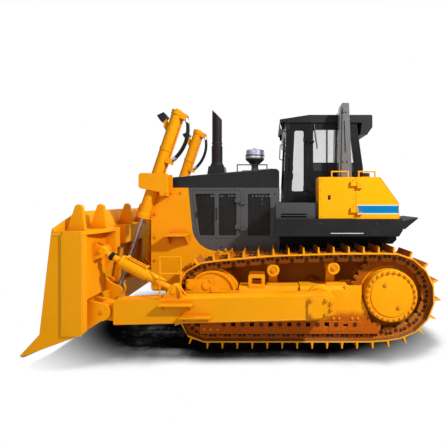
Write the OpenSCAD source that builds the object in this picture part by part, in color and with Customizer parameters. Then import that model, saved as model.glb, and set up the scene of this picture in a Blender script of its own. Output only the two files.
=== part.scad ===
// Crawler bulldozer with a semi-U blade, outside push arms and a cab with a roll-over frame.
// Millimetres. The nose points to -X, the machine's left side to -Y, up is +Z, ground is z = 0.

/* [Tracks] */
// distance between the two track centre lines
track_gauge = 2550; // [2400:10:2700]
// width of a track shoe
shoe_width = 610; // [500:10:700]
// length of one shoe along the track
shoe_pitch = 260; // [220:5:300]
// height of the grouser bar on a shoe
grouser_height = 105; // [70:1:120]
// distance from the sprocket to the idler
wheel_base = 3150; // [3000:10:3250]
// radius of the track plates round the sprocket
sprocket_plate_r = 755; // [720:1:790]
// radius of the track plates round the idler
idler_plate_r = 620; // [590:1:650]

/* [Blade] */
// reach of the blade beyond the middle of each push arm
blade_overhang = 510; // [400:10:650]
// height of the moldboard above its lower edge
moldboard_height = 1680; // [1500:10:1800]
// height of the spill guard on the blade
spill_height = 290; // [150:5:400]
// angle of the blade's wings
wing_angle = 18; // [10:1:25]

/* [Body] */
// width over the engine hood
hood_width = 1560; // [1450:10:1640]
// highest point of the hood
hood_top = 3200; // [3100:10:3250]
// width of the cab
cab_width = 1700; // [1620:10:1780]
// height of the cab from its floor to its roof
cab_height = 1550; // [1450:10:1650]
// height of the side tanks
tank_height = 730; // [600:10:800]
// tip of the exhaust stack
stack_top = 4430; // [4200:10:4600]

/* [Cylinders] */
// outer diameter of a lift cylinder barrel
lift_barrel_d = 216; // [190:2:230]
// diameter of a lift cylinder rod
lift_rod_d = 86; // [70:2:100]
// outer diameter of a brace cylinder barrel
brace_barrel_d = 200; // [170:2:220]
// diameter of a brace cylinder rod
brace_rod_d = 96; // [80:2:110]

/* [Hidden] */
$fn = 48;
// running fit at pins, and gap round doors
fit = 0.05;
door_gap = 6;

// track loop
half_gauge = track_gauge / 2;
plate_out = 110;
plate_t = 26;
link_in = 60;
sprocket_x = 2565;
idler_x = sprocket_x - wheel_base;
sprocket_z = grouser_height + sprocket_plate_r + 45;
idler_z = 900;
bend_r = 400;
bend_z = grouser_height + bend_r;
front_bend_x = idler_x - 135;
rear_bend_x = sprocket_x - 270;
roller_r = 120;
roller_z = grouser_height + plate_out + link_in + roller_r + 0.5;
carrier_x = [505, 1575];
carrier_r = 112;
carrier_belt_r = carrier_r + 8 + link_in;
upper_run_z = sprocket_z + sprocket_plate_r - plate_out - 5;
carrier_z = [upper_run_z - 35 - carrier_belt_r, upper_run_z - carrier_belt_r];
rail_in = 95;
rail_out = 165;
frame_half = 230;

// blade
arm_half = 160;
arm_clear = 100;
arm_y = half_gauge + shoe_width / 2 + arm_clear + arm_half;
blade_width = 2 * (arm_y + blade_overhang);
trunnion = [1320, 870];
arm_pin = [-2280, 760];
brace_arm_pin = [-1130, 1085];
brace_pin = [-2330, 1733];
lift_y = 950;
lift_pivot = [-1760, 2920];
lift_pin = [-2450, 870];
blade_low_z = 420;
blade_top_z = blade_low_z + moldboard_height;
blade_low_x = -2881;
blade_top_x = -2701;
blade_sag = 100;
blade_back_x = -2570;
wing_w = 550;
centre_half = blade_width / 2 - wing_w;
tip_x = -3390;
tip_z = 165;

// body
hood_half = hood_width / 2;
deck_z = 1580;
hood_z = 2820;
guard_half = hood_half + 20;
cab_half = cab_width / 2;
platform_half = cab_half + 30;
platform_z = 2470;
cab_floor_z = platform_z + 60;
cab_top_z = cab_floor_z + cab_height;
cab_x0 = 700;
cab_x1 = 2190;
wall = 60;
b_pillar_x = 1200;
fender_z0 = 1945;
fender_z1 = 2250;
fender_out = half_gauge + shoe_width / 2;
rops_y0 = platform_half + 70;
rops_y1 = rops_y0 + 200;
tank_in = rops_y1 + 10;
tank_out = fender_out - 30;
tank_top = fender_z1 + tank_height;
tank_x0 = 1300;
tank_door_x1 = 1950;

// helpers: a box between corners, a side outline given as [x, z] and extruded from y0 to y1, a
// cross-section given as [y, z] and extruded from x0 to x1
module box(x0, x1, y0, y1, z0, z1) {
    translate([x0, y0, z0]) cube([x1 - x0, y1 - y0, z1 - z0]);
}
module side(y0, y1) {
    translate([0, y1, 0]) rotate([90, 0, 0]) linear_extrude(height = y1 - y0) children();
}
module cross(x0, x1) {
    translate([x0, 0, 0]) rotate([90, 0, 90]) linear_extrude(height = x1 - x0) children();
}
// round bars along Y, X and Z, and a turned piece on a Y axis at p: its profile is [radius, |y|]
module bar_y(p, r, y0, y1) {
    translate([p[0], y1, p[1]]) rotate([90, 0, 0]) cylinder(r = r, h = y1 - y0);
}
module bar_x(x0, x1, y, z, r) {
    translate([x0, y, z]) rotate([0, 90, 0]) cylinder(r = r, h = x1 - x0);
}
module bar_z(x, y, z0, z1, r) {
    translate([x, y, z0]) cylinder(r = r, h = z1 - z0);
}
module turned_y(p) {
    translate([p[0], 0, p[1]]) rotate([90, 0, 0]) rotate_extrude() children();
}
module right() {
    mirror([0, 1, 0]) children();
}
module both() {
    children();
    mirror([0, 1, 0]) children();
}
// an outline with every corner rounded to radius r; its points run anticlockwise
function inward(p, i) = let (n = len(p), a = p[(i + n) % n], b = p[(i + 1) % n], d = (b - a) / norm(b - a))
    [-d[1], d[0]];
function corner(p, i, r) = let (m = inward(p, i - 1), n = inward(p, i)) p[i] + r * (m + n) / (1 + m * n);
module soft(p, r) {
    last = len(p) - 1;
    polygon([for (i = [0 : last], k = [i - 1, i]) corner(p, i, r) - r * inward(p, k)]);
    for (i = [0 : last])
        translate(corner(p, i, r)) circle(r = r);
}
function rect(x0, x1, z0, z1) = [[x0, z0], [x1, z0], [x1, z1], [x0, z1]];
// a door hinge on a left-hand wall at wall_y: lug and pin on the fixed side, knuckle on the door
hinge_out = 28;
module hinge_lug(x, wall_y, z) {
    box(x - 14, x + 85, wall_y - hinge_out - 14, wall_y + 3, z - 36, z);
    translate([x, wall_y - hinge_out, z - 10]) cylinder(r = 12, h = 90);
}
module hinge_knuckle(x, wall_y, z) {
    difference() {
        union() {
            translate([x, wall_y - hinge_out, z + 0.5]) cylinder(r = 22, h = 80);
            box(x - 120, x, wall_y - hinge_out - 10, wall_y - hinge_out + 10, z + 0.5, z + 80.5);
            box(x - 120, x - 32, wall_y - hinge_out - 10, wall_y + 3, z + 0.5, z + 80.5);
        }
        translate([x, wall_y - hinge_out, z - 1]) cylinder(r = 12 + fit, h = 100);
    }
}
// a frame whose z axis runs from point p to point q in the plane y
module along(p, q, y) {
    translate([p[0], y, p[1]]) rotate([0, atan2(q[0] - p[0], q[1] - p[1]), 0]) children();
}
function dist(p, q) = norm([q[0] - p[0], q[1] - p[1]]);

// track path: a belt round the bends of the lower run, the sprocket, the carrier rollers and the idler
wheels = [[front_bend_x, bend_z, bend_r - plate_out],
    [rear_bend_x, bend_z, bend_r - plate_out],
    [sprocket_x, sprocket_z, sprocket_plate_r - plate_out],
    [carrier_x[1], carrier_z[1], carrier_belt_r],
    [carrier_x[0], carrier_z[0], carrier_belt_r],
    [idler_x, idler_z, idler_plate_r - plate_out]];
wheel_n = len(wheels);
function wheel(i) = wheels[(i + wheel_n) % wheel_n];
function leave(i) = let (a = wheel(i), b = wheel(i + 1), l = dist(a, b))
    atan2(b[1] - a[1], b[0] - a[0]) - acos((a[2] - b[2]) / l);
function turn(a) = a - 360 * floor(a / 360);
function arc_len(i) = wheel(i)[2] * turn(leave(i) - leave(i - 1)) * PI / 180;
function line_len(i) = let (a = wheel(i), b = wheel(i + 1), l = dist(a, b))
    sqrt(l * l - (a[2] - b[2]) * (a[2] - b[2]));
function leg(i) = arc_len(i) + line_len(i);
function total(i) = i < 0 ? 0 : leg(i) + total(i - 1);
belt_len = total(wheel_n - 1);
shoe_n = round(belt_len / shoe_pitch);
function on_arc(i, a) = [wheel(i)[0] + wheel(i)[2] * cos(a), wheel(i)[1] + wheel(i)[2] * sin(a)];
function on_leg(i, s) = s < arc_len(i)
    ? on_arc(i, leave(i - 1) + s / wheel(i)[2] * 180 / PI)
    : on_arc(i, leave(i)) + (s - arc_len(i)) * [-sin(leave(i)), cos(leave(i))];
function on_belt(s, i = 0) = s < leg(i) || i == wheel_n - 1 ? on_leg(i, s) : on_belt(s - leg(i), i + 1);
function lap(s) = s - belt_len * floor(s / belt_len);
first_pin = arc_len(0) + 29;
pins = [for (i = [0 : shoe_n - 1]) on_belt(lap(first_pin + i * belt_len / shoe_n))];
function pin(i) = pins[(i + shoe_n) % shoe_n];
function run(i) = (pin(i + 1) - pin(i)) / dist(pin(i), pin(i + 1));
function out(i) = [run(i)[1], -run(i)[0]];
function mean_out(i) = (out(i) + out(i - 1)) / norm(out(i) + out(i - 1));
function ring(d) = [for (i = [0 : shoe_n - 1]) pin(i) + d * mean_out(i)];
// a point on link i: share t of its length from its first pin, d outside the pin line
function on_link(i, t, d) = pin(i) + t * dist(pin(i), pin(i + 1)) * run(i) + d * out(i);
shoe_outline = [for (i = [0 : shoe_n - 1]) each [on_link(i, 0, plate_out), on_link(i, 0.14, plate_out),
    on_link(i, 0.17, plate_out + grouser_height), on_link(i, 0.25, plate_out + grouser_height),
    on_link(i, 0.29, plate_out)]];
rail_outline = [for (i = [0 : shoe_n - 1]) each [on_link(i, 0.08, -0.55 * link_in), on_link(i, 0.2, -link_in),
    on_link(i, 0.8, -link_in), on_link(i, 0.92, -0.55 * link_in)]];

module track_loop() {
    color("#c88a1c") {
        side(-half_gauge - shoe_width / 2, -half_gauge + shoe_width / 2) difference() {
            polygon(shoe_outline);
            polygon(ring(plate_out - plate_t));
        }
        for (y = [-half_gauge - rail_out, -half_gauge + rail_in])
            side(y, y + rail_out - rail_in) difference() {
                polygon(ring(plate_out - plate_t + 4));
                polygon(rail_outline);
            }
    }
}
module track_left() {
    track_loop();
}
module track_right() {
    right() track_loop();
}

// track frame: box beam with recoil housing, roller guards, idler fork, carrier posts and the trunnion
roller_n = 8;
frame_end_x = sprocket_x - sprocket_plate_r + 30;
frame_top = 885;
roller_x0 = idler_x + 225;
roller_step = (frame_end_x + 100 - roller_x0) / (roller_n - 1);
function roller_x(i) = roller_x0 + i * roller_step;
module roller_guard() {
    difference() {
        polygon([[front_bend_x - 60, 230], [rear_bend_x + 35, 230], [rear_bend_x + 95, 300],
            [rear_bend_x + 95, 410], [rear_bend_x - 55, 430], [frame_end_x, 560], [idler_x - 60, 560],
            [front_bend_x - 60, 400]]);
        for (i = [0 : roller_n - 2])
            soft(rect(roller_x(i) + 80, roller_x(i + 1) - 80, 355, 430), 30);
    }
}
module rear_leg() {
    polygon([[frame_end_x - 140, 400], [sprocket_x - 325, 400], [sprocket_x - 415, 640],
        [sprocket_x - 505, 860], [sprocket_x - 505, 1075], [frame_end_x - 75, 1075]]);
}
module idler_fork() {
    polygon([[idler_x - 460, idler_z - 40], [idler_x - 380, idler_z - 120], [idler_x + 500, idler_z - 120],
        [idler_x + 500, idler_z + 87], [idler_x - 460, idler_z + 87]]);
    polygon([[idler_x + 400, 540], [idler_x + 500, 540], [idler_x + 500, idler_z], [idler_x + 400, idler_z]]);
}
module idler_cover() {
    difference() {
        soft([[idler_x - 438, idler_z - 20], [idler_x + 28, idler_z - 20], [idler_x + 28, idler_z + 291],
            [idler_x - 438, idler_z + 291]], 30);
        soft(rect(idler_x - 20, idler_x - 2, idler_z + 90, idler_z + 260), 8);
    }
}
module track_frame() {
    outer = -half_gauge - frame_half;
    color("#e0a01e") {
        difference() {
            union() {
                box(idler_x + 480, frame_end_x, outer, -half_gauge + frame_half, 520, frame_top);
                cross(idler_x + 480, idler_x + 1550) translate([-half_gauge, frame_top - 5])
                    polygon([[-frame_half, 0], [frame_half, 0], [140, 165], [-140, 165]]);
                cross(idler_x + 1563, frame_end_x) translate([-half_gauge, frame_top - 5])
                    polygon([[-frame_half, 0], [frame_half, 0], [frame_half, 120], [180, 179], [-180, 179],
                        [-frame_half, 120]]);
                for (y = [outer, -half_gauge + frame_half - 30])
                    side(y, y + 30) {
                        roller_guard();
                        idler_fork();
                        rear_leg();
                    }
                side(outer - 30, outer) idler_cover();
                for (x = [idler_x - 357, idler_x - 74])
                    bar_y([x, idler_z + 189], 70, outer - 48, outer - 20);
                box(idler_x - 460, idler_x + 365, outer - 30, outer + 30, idler_z + 60, idler_z + 87);
                box(front_bend_x - 50, idler_x + 190, outer - 18, outer, 245, 390);
                for (y = [-half_gauge - 160, -half_gauge + 130])
                    side(y, y + 30) difference() {
                        soft(rect(idler_x + 650, idler_x + 944, frame_top + 130, frame_top + 370), 30);
                        soft(rect(idler_x + 710, idler_x + 885, frame_top + 200, frame_top + 305), 20);
                    }
            }
            for (i = [0 : roller_n - 1])
                bar_y([roller_x(i), roller_z], 40 + fit, outer - 1, -half_gauge + frame_half + 1);
            bar_y([idler_x, idler_z], 70 + fit, outer - 100, -half_gauge + frame_half + 1);
        }
        for (i = [0, 1])
            side(-half_gauge + 180, -half_gauge + frame_half) difference() {
                union() {
                    polygon([[carrier_x[i] - 94, frame_top - 5], [carrier_x[i] + 94, frame_top - 5],
                        [carrier_x[i] + 70, carrier_z[i]], [carrier_x[i] - 70, carrier_z[i]]]);
                    translate([carrier_x[i], carrier_z[i]]) circle(r = 70);
                }
                translate([carrier_x[i], carrier_z[i]]) circle(r = 40 + fit);
            }
        turned_y(trunnion) polygon([[0, half_gauge + frame_half - 10], [230, half_gauge + frame_half - 10],
            [230, half_gauge + frame_half + 30], [190, half_gauge + frame_half + 50],
            [190, half_gauge + frame_half + 140], [100, half_gauge + frame_half + 140], [100, arm_y + 60],
            [0, arm_y + 60]]);
    }
}
module track_frame_left() {
    track_frame();
}
module track_frame_right() {
    right() track_frame();
}

// rollers and idler inside the loop, with their shafts
idler_r = sqrt(pow(idler_plate_r - plate_out, 2) - pow(0.55 * shoe_pitch, 2)) - link_in - 2;
module roller_profile() {
    translate([0, half_gauge]) polygon([[0, -frame_half], [40, -frame_half], [40, -190], [roller_r - 10, -190],
        [roller_r, -180], [roller_r, -rail_in], [roller_r - 25, -rail_in], [roller_r - 25, rail_in],
        [roller_r, rail_in], [roller_r, 180], [roller_r - 10, 190], [40, 190], [40, frame_half],
        [0, frame_half]]);
}
module carrier_profile() {
    translate([0, half_gauge]) polygon([[0, -frame_half], [40, -frame_half], [40, -170], [carrier_r, -170],
        [carrier_r, 165], [carrier_r - 12, 180], [72, 180], [66, 172], [36, 172], [30, 186], [0, 186]]);
}
module idler_profile() {
    translate([0, half_gauge]) polygon([[0, -frame_half], [70, -frame_half], [70, -195], [150, -195],
        [150, -140], [375, -140], [390, -165], [idler_r, -165], [idler_r, -rail_in + 7],
        [idler_r + 40, -rail_in + 7], [idler_r + 40, rail_in - 7], [idler_r, rail_in - 7], [idler_r, 165],
        [390, 165], [375, 140], [150, 140], [150, 195], [70, 195], [70, frame_half], [0, frame_half]]);
}
module roller_set() {
    color("#c88a1c") {
        for (i = [0 : roller_n - 1])
            turned_y([roller_x(i), roller_z]) roller_profile();
        for (i = [0, 1])
            turned_y([carrier_x[i], carrier_z[i]]) carrier_profile();
        turned_y([idler_x, idler_z]) idler_profile();
    }
}
module rollers_left() {
    roller_set();
}
module rollers_right() {
    right() roller_set();
}

// sprocket: toothed ring between the links and the final drive's turned hub with its cover
sprocket_pitch_r = sprocket_plate_r - plate_out;
tooth_n = round(2 * PI * sprocket_pitch_r / shoe_pitch) * 2;
function tooth(i) = let (a = 360 / tooth_n)
    [[for (k = [0, 0.3]) (sprocket_pitch_r - 45) * [cos((i + k) * a), sin((i + k) * a)]],
    [for (k = [0.45, 0.8]) (sprocket_pitch_r + 20) * [cos((i + k) * a), sin((i + k) * a)]]];
tooth_outline = [for (i = [0 : tooth_n - 1]) each concat(tooth(i)[0], tooth(i)[1])];
hub_face = half_gauge + shoe_width / 2;
module sprocket() {
    color("#e0a01e") {
        side(-half_gauge - 42, -half_gauge + 42) translate([sprocket_x, sprocket_z]) polygon(tooth_outline);
        turned_y([sprocket_x, sprocket_z]) polygon([[0, 900], [400, 900], [400, half_gauge], [430, half_gauge + 60],
            [455, half_gauge + 75], [455, hub_face - 26], [441, hub_face - 12], [395, hub_face - 12],
            [385, hub_face - 22], [370, hub_face - 22], [360, hub_face - 8], [80, hub_face], [0, hub_face]]);
    }
}
module sprocket_left() {
    sprocket();
}
module sprocket_right() {
    right() sprocket();
}

// main frame: belly box, deck, pivot shaft and equalizer bar
module main_frame() {
    color("#3a3a3c") {
        cross(-1700, 1900) polygon([[-450, 560], [-410, 520], [410, 520], [450, 560], [450, 800], [-450, 800]]);
        box(-600, 1900, -420, 420, 800, deck_z - 80);
        box(-600, -290, -guard_half + 65, guard_half - 65, deck_z - 80, deck_z);
        box(-290, 1900, -hood_half, hood_half, deck_z - 80, deck_z);
        bar_y(trunnion, 150, -half_gauge + frame_half, half_gauge - frame_half);
        box(idler_x + 560, idler_x + 700, -half_gauge + frame_half, half_gauge - frame_half, 620, 790);
    }
}

// rear case: transmission and final drive housing with the drawbar clevis
module rear_case() {
    color("#3a3a3c") {
        difference() {
            union() {
                side(-420, 420) polygon([[1900, 560], [2860, 560], [2950, 660], [2950, deck_z - 60],
                    [2890, deck_z], [1900, deck_z]]);
                bar_y([sprocket_x, sprocket_z], 400, -900, 900);
                for (z = [640, 830])
                    translate([0, 0, z]) linear_extrude(height = 70) {
                        polygon([[2900, -190], [3090, -150], [3090, 150], [2900, 190]]);
                        translate([3090, 0]) circle(r = 150);
                    }
            }
            translate([3090, 0, 600]) cylinder(r = 45, h = 340);
            for (y = [-320, 320], z = [680, 1400])
                translate([2890, y, z]) rotate([0, 90, 0]) cylinder(r = 18, h = 100);
        }
    }
}

// platform under the cab, between the fenders, with the slanted rear of the body
module platform() {
    color("#2b2b2d") {
        side(-platform_half, platform_half) polygon([[640, deck_z + 150], [2820, deck_z + 150],
            [2900, deck_z + 230], [2900, platform_z - 90], [2820, platform_z], [640, platform_z]]);
        box(640, 2700, -hood_half, hood_half, deck_z, deck_z + 150);
    }
}

// engine skirt outline on the side, grown by g: a rounded front corner under a slanted front edge
module skirt(g) {
    polygon([[-590, deck_z - g], [640, deck_z - g], [640, hood_z], [-590, hood_z]]);
    translate([-590, 2070]) circle(r = 490 + g);
    polygon([[-1080 - g, 2070], [-590, 2070], [-590, hood_z], [-1155 - g, hood_z]]);
}

// radiator guard: thick side plates round the skirt, top, floor, a step, and the lift cylinders' yokes
module guard_plate() {
    difference() {
        polygon([[-1880, 840], [-1840, 800], [-700, 800], [-560, 1300], [-310, 1500], [-310, 2600],
            [-1100, hood_z], [-1880, hood_z]]);
        skirt(2);
    }
}
module yoke_plate() {
    difference() {
        soft([[-2000, 2830], [-1960, 2795], [-1460, 2700], [-1460, 3070], [-1960, 3086], [-2000, 3050]], 14);
        translate(lift_pivot) circle(r = 50 + fit);
    }
}
module radiator_guard() {
    color("#e8a81c") {
        both() {
            side(-guard_half, -guard_half + 60) guard_plate();
            side(-lift_y - 185, -lift_y - 135) yoke_plate();
            side(-lift_y + 135, -hood_half - 5) yoke_plate();
            box(-1610, -1520, -lift_y - 185, -guard_half + 60, hood_z - 160, hood_z);
            box(-1540, -1130, -1080, -guard_half + 5, 1890, 1930);
            for (x = [-1520, -1170])
                cross(x, x + 20) polygon([[-guard_half + 5, 1700], [-guard_half + 5, 1895], [-1060, 1895]]);
        }
        box(-1840, -700, -guard_half, guard_half, 800, 860);
        box(-1880, -1160, -guard_half, guard_half, hood_z - 60, hood_z);
    }
}
module radiator_grille() {
    color("#2b2b2d") difference() {
        box(-1870, -1810, -guard_half + 60, guard_half - 60, 860, hood_z - 60);
        for (i = [-5 : 5])
            box(-1880, -1830, i * 125 - 45, i * 125 + 45, 940, hood_z - 140);
    }
}

// hood: hollow sloping cover with rounded long edges, a collar for the stack, a seat for the
// precleaner and a hand rail
hood_low = hood_top - 182;
hood_rise = atan2(hood_top - hood_low, 2038);
module edge_cut(y) {
    translate([-1700, y, hood_low - 71 * tan(hood_rise)]) rotate([0, -hood_rise, 0]) rotate([90, 0, 90])
        linear_extrude(height = 2160) difference() {
            translate([-10, -60]) square([70, 90]);
            translate([60, -60]) circle(r = 60);
        }
}
module hood() {
    color("#3a3a3c") {
        difference() {
            side(-hood_half, hood_half) polygon([[-1557, hood_z], [-1629, hood_low], [409, hood_top],
                [587, hood_top - 8], [633, hood_top - 54], [633, hood_z]]);
            side(-hood_half + 40, hood_half - 40) polygon([[-1490, hood_z - 1], [-1540, hood_low - 40],
                [409, hood_top - 42], [570, hood_top - 50], [592, hood_top - 80], [592, hood_z - 1]]);
            both() edge_cut(-hood_half);
        }
        side(-610, -290) polygon([[-820, hood_top - 130], [-450, hood_top - 130], [-480, hood_top + 60],
            [-790, hood_top + 60]]);
        translate([130, -300, hood_top - 60]) cylinder(r = 110, h = 60);
        both() {
            bar_x(-210, 400, -hood_half + 80, hood_top + 80, 11);
            for (x = [-200, 95, 390])
                bar_z(x, -hood_half + 80, hood_top - 75, hood_top + 80, 11);
        }
    }
}

// engine sides: the walls under the hood with openings for the doors and a fixed mesh panel
door_x1 = -140;
door_z0 = 1830;
door_z1 = 2760;
door_hinge_x = door_x1 + door_gap + 20;
door_hinge_z = [door_z0 + 180, door_z1 - 230];
function door_outline(g) = [[-985 - 1.1 * g, door_z0 - g], [door_x1 + g, door_z0 - g], [door_x1 + g, door_z1 + g],
    [-1085 - 1.1 * g, door_z1 + g]];
module engine_sides() {
    color("#2b2b2d") both() {
        side(-hood_half, -hood_half + 40) difference() {
            skirt(0);
            soft(door_outline(door_gap), 30);
            soft(rect(14, 457, 1880, 2700), 30);
        }
        for (z = door_hinge_z)
            hinge_lug(door_hinge_x, -hood_half, z);
    }
}
module engine_block() {
    color("#6a6a66") {
        box(-900, 500, -300, 300, deck_z, 2150);
        box(-860, 460, -360, 360, 2150, 2450);
        for (x = [-720 : 220 : 400])
            box(x - 90, x + 90, -330, 330, 2450, 2650);
    }
}
module engine_door() {
    color("#2b2b2d") {
        side(-hood_half - 4, -hood_half + 36) difference() {
            soft(door_outline(0), 30);
            soft([[-935, door_z0 + 50], [-640, door_z0 + 50], [-640, door_z1 - 60], [-1025, door_z1 - 60]], 30);
            soft(rect(-560, -210, door_z0 + 50, door_z1 - 60), 30);
        }
        for (z = door_hinge_z)
            hinge_knuckle(door_hinge_x, -hood_half, z);
    }
}
module engine_door_left() {
    engine_door();
}
module engine_door_right() {
    right() engine_door();
}

// exhaust stack: flanged tube with a slanted mouth that is high at the front
stack_z = hood_top + 60;
module exhaust_stack() {
    color("#4a342a") difference() {
        translate([-640, -450, 0]) rotate_extrude() polygon([[90, stack_z], [140, stack_z], [140, stack_z + 40],
            [112, stack_z + 60], [112, stack_z + 420], [100, stack_z + 440], [100, stack_top], [90, stack_top]]);
        side(-600, -300) polygon([[-740, stack_top], [-440, stack_top - 300], [-440, stack_top + 10],
            [-740, stack_top + 10]]);
    }
}
module precleaner() {
    color("#c0c0c0") translate([130, -300, hood_top]) rotate_extrude() polygon([[0, 0], [80, 0], [80, 40], [68, 50],
        [68, 120], [95, 130], [200, 225], [200, 400], [188, 420], [60, 432], [0, 432]]);
}

// cab: floor, slanted front, bent rear wall, sides with cut windows, roof with visor
win_z0 = cab_floor_z + 620;
win_z1 = cab_top_z - 130;
beam_z = cab_top_z - 120;
lean = 70 / 1550;
function front_at(z) = cab_x0 + (z - cab_floor_z) * lean;
bend_at_z = cab_floor_z + 670;
function rear_at(z) = z < bend_at_z ? cab_x1 + (z - cab_floor_z) / 67 : cab_x1 + 10 - (z - bend_at_z) * 0.142;
module cab_floor() {
    color("#222224") box(640, 2250, -cab_half, cab_half, platform_z, cab_floor_z);
}
module front_slab(x, t, z0, z1) {
    polygon([[front_at(z0) + x, z0], [front_at(z0) + x + t, z0], [front_at(z1) + x + t, z1], [front_at(z1) + x, z1]]);
}
module front_window() {
    soft(rect(-cab_half + 120, cab_half - 120, cab_floor_z + 300, win_z1), 60);
}
module cab_front() {
    color("#222224") difference() {
        side(-cab_half, cab_half) front_slab(0, 70, cab_floor_z, beam_z);
        cross(cab_x0 - 10, cab_x0 + 200) front_window();
    }
}
module rear_slab(x, t, z0, z1) {
    polygon([[rear_at(z0) + x, z0], [rear_at(z0) + x + t, z0], [rear_at(bend_at_z) + x + t, bend_at_z],
        [rear_at(z1) + x + t, z1], [rear_at(z1) + x, z1], [rear_at(bend_at_z) + x, bend_at_z]]);
}
module rear_window() {
    soft(rect(-cab_half + 160, cab_half - 160, win_z0, win_z1), 60);
}
module cab_rear() {
    color("#222224") difference() {
        side(-cab_half, cab_half) rear_slab(0, wall, cab_floor_z, cab_top_z);
        cross(cab_x1 - 200, cab_x1 + 200) rear_window();
    }
}
cab_hinge_z = [cab_floor_z + 250, cab_top_z - 350];
module side_windows() {
    difference() {
        soft([[b_pillar_x + 90, win_z0], [rear_at(win_z0) - 100, win_z0], [rear_at(win_z1) - 90, win_z1],
            [b_pillar_x + 90, win_z1]], 50);
        translate([1546, win_z0 - 10]) square([25, win_z1 - win_z0 + 20]);
    }
}
module cab_side() {
    color("#222224") {
        side(-cab_half, -cab_half + wall) difference() {
            polygon([[b_pillar_x, cab_floor_z], [rear_at(cab_floor_z), cab_floor_z],
                [rear_at(bend_at_z), bend_at_z], [rear_at(cab_top_z), cab_top_z], [b_pillar_x, cab_top_z]]);
            side_windows();
        }
        for (z = cab_hinge_z)
            hinge_lug(b_pillar_x + 20, -cab_half, z);
    }
}
module cab_side_left() {
    cab_side();
}
module cab_side_right() {
    right() cab_side();
}
module cab_roof() {
    color("#2b2b2d") {
        side(-cab_half - 30, cab_half + 30) polygon([[640, cab_top_z + 40], [757, cab_top_z], [2230, cab_top_z],
            [2200, cab_top_z - 230], [2330, cab_top_z - 230], [2434, cab_top_z - 90], [2434, cab_top_z + 130],
            [2414, cab_top_z + 150], [1209, cab_top_z + 150], [640, cab_top_z + 62]]);
        box(757, 836, -cab_half, cab_half, beam_z, cab_top_z + 5);
    }
}
module cab_glass() {
    color("#9fb4bc") {
        intersection() {
            side(-cab_half, cab_half) front_slab(30, 8, cab_floor_z, beam_z);
            cross(cab_x0 - 10, cab_x0 + 200) front_window();
        }
        intersection() {
            side(-cab_half, cab_half) rear_slab(26, 8, cab_floor_z, cab_top_z);
            cross(cab_x1 - 200, cab_x1 + 200) rear_window();
        }
        both() side(-cab_half + 25, -cab_half + 33) side_windows();
    }
}
function door_front(z) = front_at(z) + 70 + door_gap + 2;
cab_door_x1 = b_pillar_x - door_gap;
cab_door_z0 = cab_floor_z + door_gap;
cab_door_z1 = cab_top_z - door_gap;
module door_window() {
    soft([[door_front(cab_floor_z + 200) + 70, cab_floor_z + 200], [cab_door_x1 - 70, cab_floor_z + 200],
        [cab_door_x1 - 70, win_z1], [door_front(win_z1) + 70, win_z1]], 50);
}
module cab_door() {
    color("#222224") {
        side(-cab_half, -cab_half + 45) difference() {
            polygon([[door_front(cab_door_z0), cab_door_z0], [cab_door_x1, cab_door_z0], [cab_door_x1, cab_door_z1],
                [door_front(cab_door_z1), cab_door_z1]]);
            door_window();
        }
        for (z = cab_hinge_z)
            hinge_knuckle(b_pillar_x + 20, -cab_half, z);
        for (z = [cab_floor_z + 640, cab_floor_z + 980])
            bar_y([cab_door_x1 - 310, z], 11, -cab_half - 60, -cab_half + 20);
        bar_z(cab_door_x1 - 310, -cab_half - 60, cab_floor_z + 629, cab_floor_z + 991, 11);
    }
}
module cab_door_left() {
    cab_door();
}
module cab_door_right() {
    right() cab_door();
}
module door_glass() {
    color("#9fb4bc") side(-cab_half + 20, -cab_half + 28) door_window();
}
module door_glass_left() {
    door_glass();
}
module door_glass_right() {
    right() door_glass();
}
module seat() {
    color("#1c1c1e") {
        box(1400, 1900, -180, 180, cab_floor_z, cab_floor_z + 300);
        side(-280, 280) soft([[1350, cab_floor_z + 300], [1950, cab_floor_z + 300], [1950, cab_floor_z + 430],
            [1350, cab_floor_z + 450]], 40);
        side(-270, 270) soft([[1830, cab_floor_z + 380], [1950, cab_floor_z + 380], [2030, cab_floor_z + 1100],
            [1910, cab_floor_z + 1100]], 45);
    }
}
module console() {
    color("#1c1c1e") {
        side(-260, 260) polygon([[cab_x0 + 72, cab_floor_z], [cab_x0 + 310, cab_floor_z],
            [cab_x0 + 310, cab_floor_z + 760], [cab_x0 + 170, cab_floor_z + 820], [cab_x0 + 130, cab_floor_z + 820]]);
        both() side(-480, -330) soft([[1400, cab_floor_z], [1800, cab_floor_z], [1800, cab_floor_z + 560],
            [1400, cab_floor_z + 500]], 30);
    }
}

// roll-over frame: two tapering posts on the fenders, each with a raised rib, and a beam over the roof
module rops_post() {
    color("#6e6e70") {
        side(-rops_y1 + 20, -rops_y0) soft([[1714, fender_z1], [1990, fender_z1], [1974, 3100],
            [1925, cab_top_z + 310], [1800, cab_top_z + 315], [1755, cab_top_z + 230]], 12);
        side(-rops_y1, -rops_y1 + 25) polygon([[1760, fender_z1], [1945, fender_z1], [1930, 3100],
            [1885, cab_top_z + 220], [1800, cab_top_z + 220]]);
    }
}
module rops_post_left() {
    rops_post();
}
module rops_post_right() {
    right() rops_post();
}
module rops_beam() {
    color("#6e6e70") side(-rops_y0, rops_y0) soft(rect(1790, 1920, cab_top_z + 150, cab_top_z + 240), 20);
}

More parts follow.
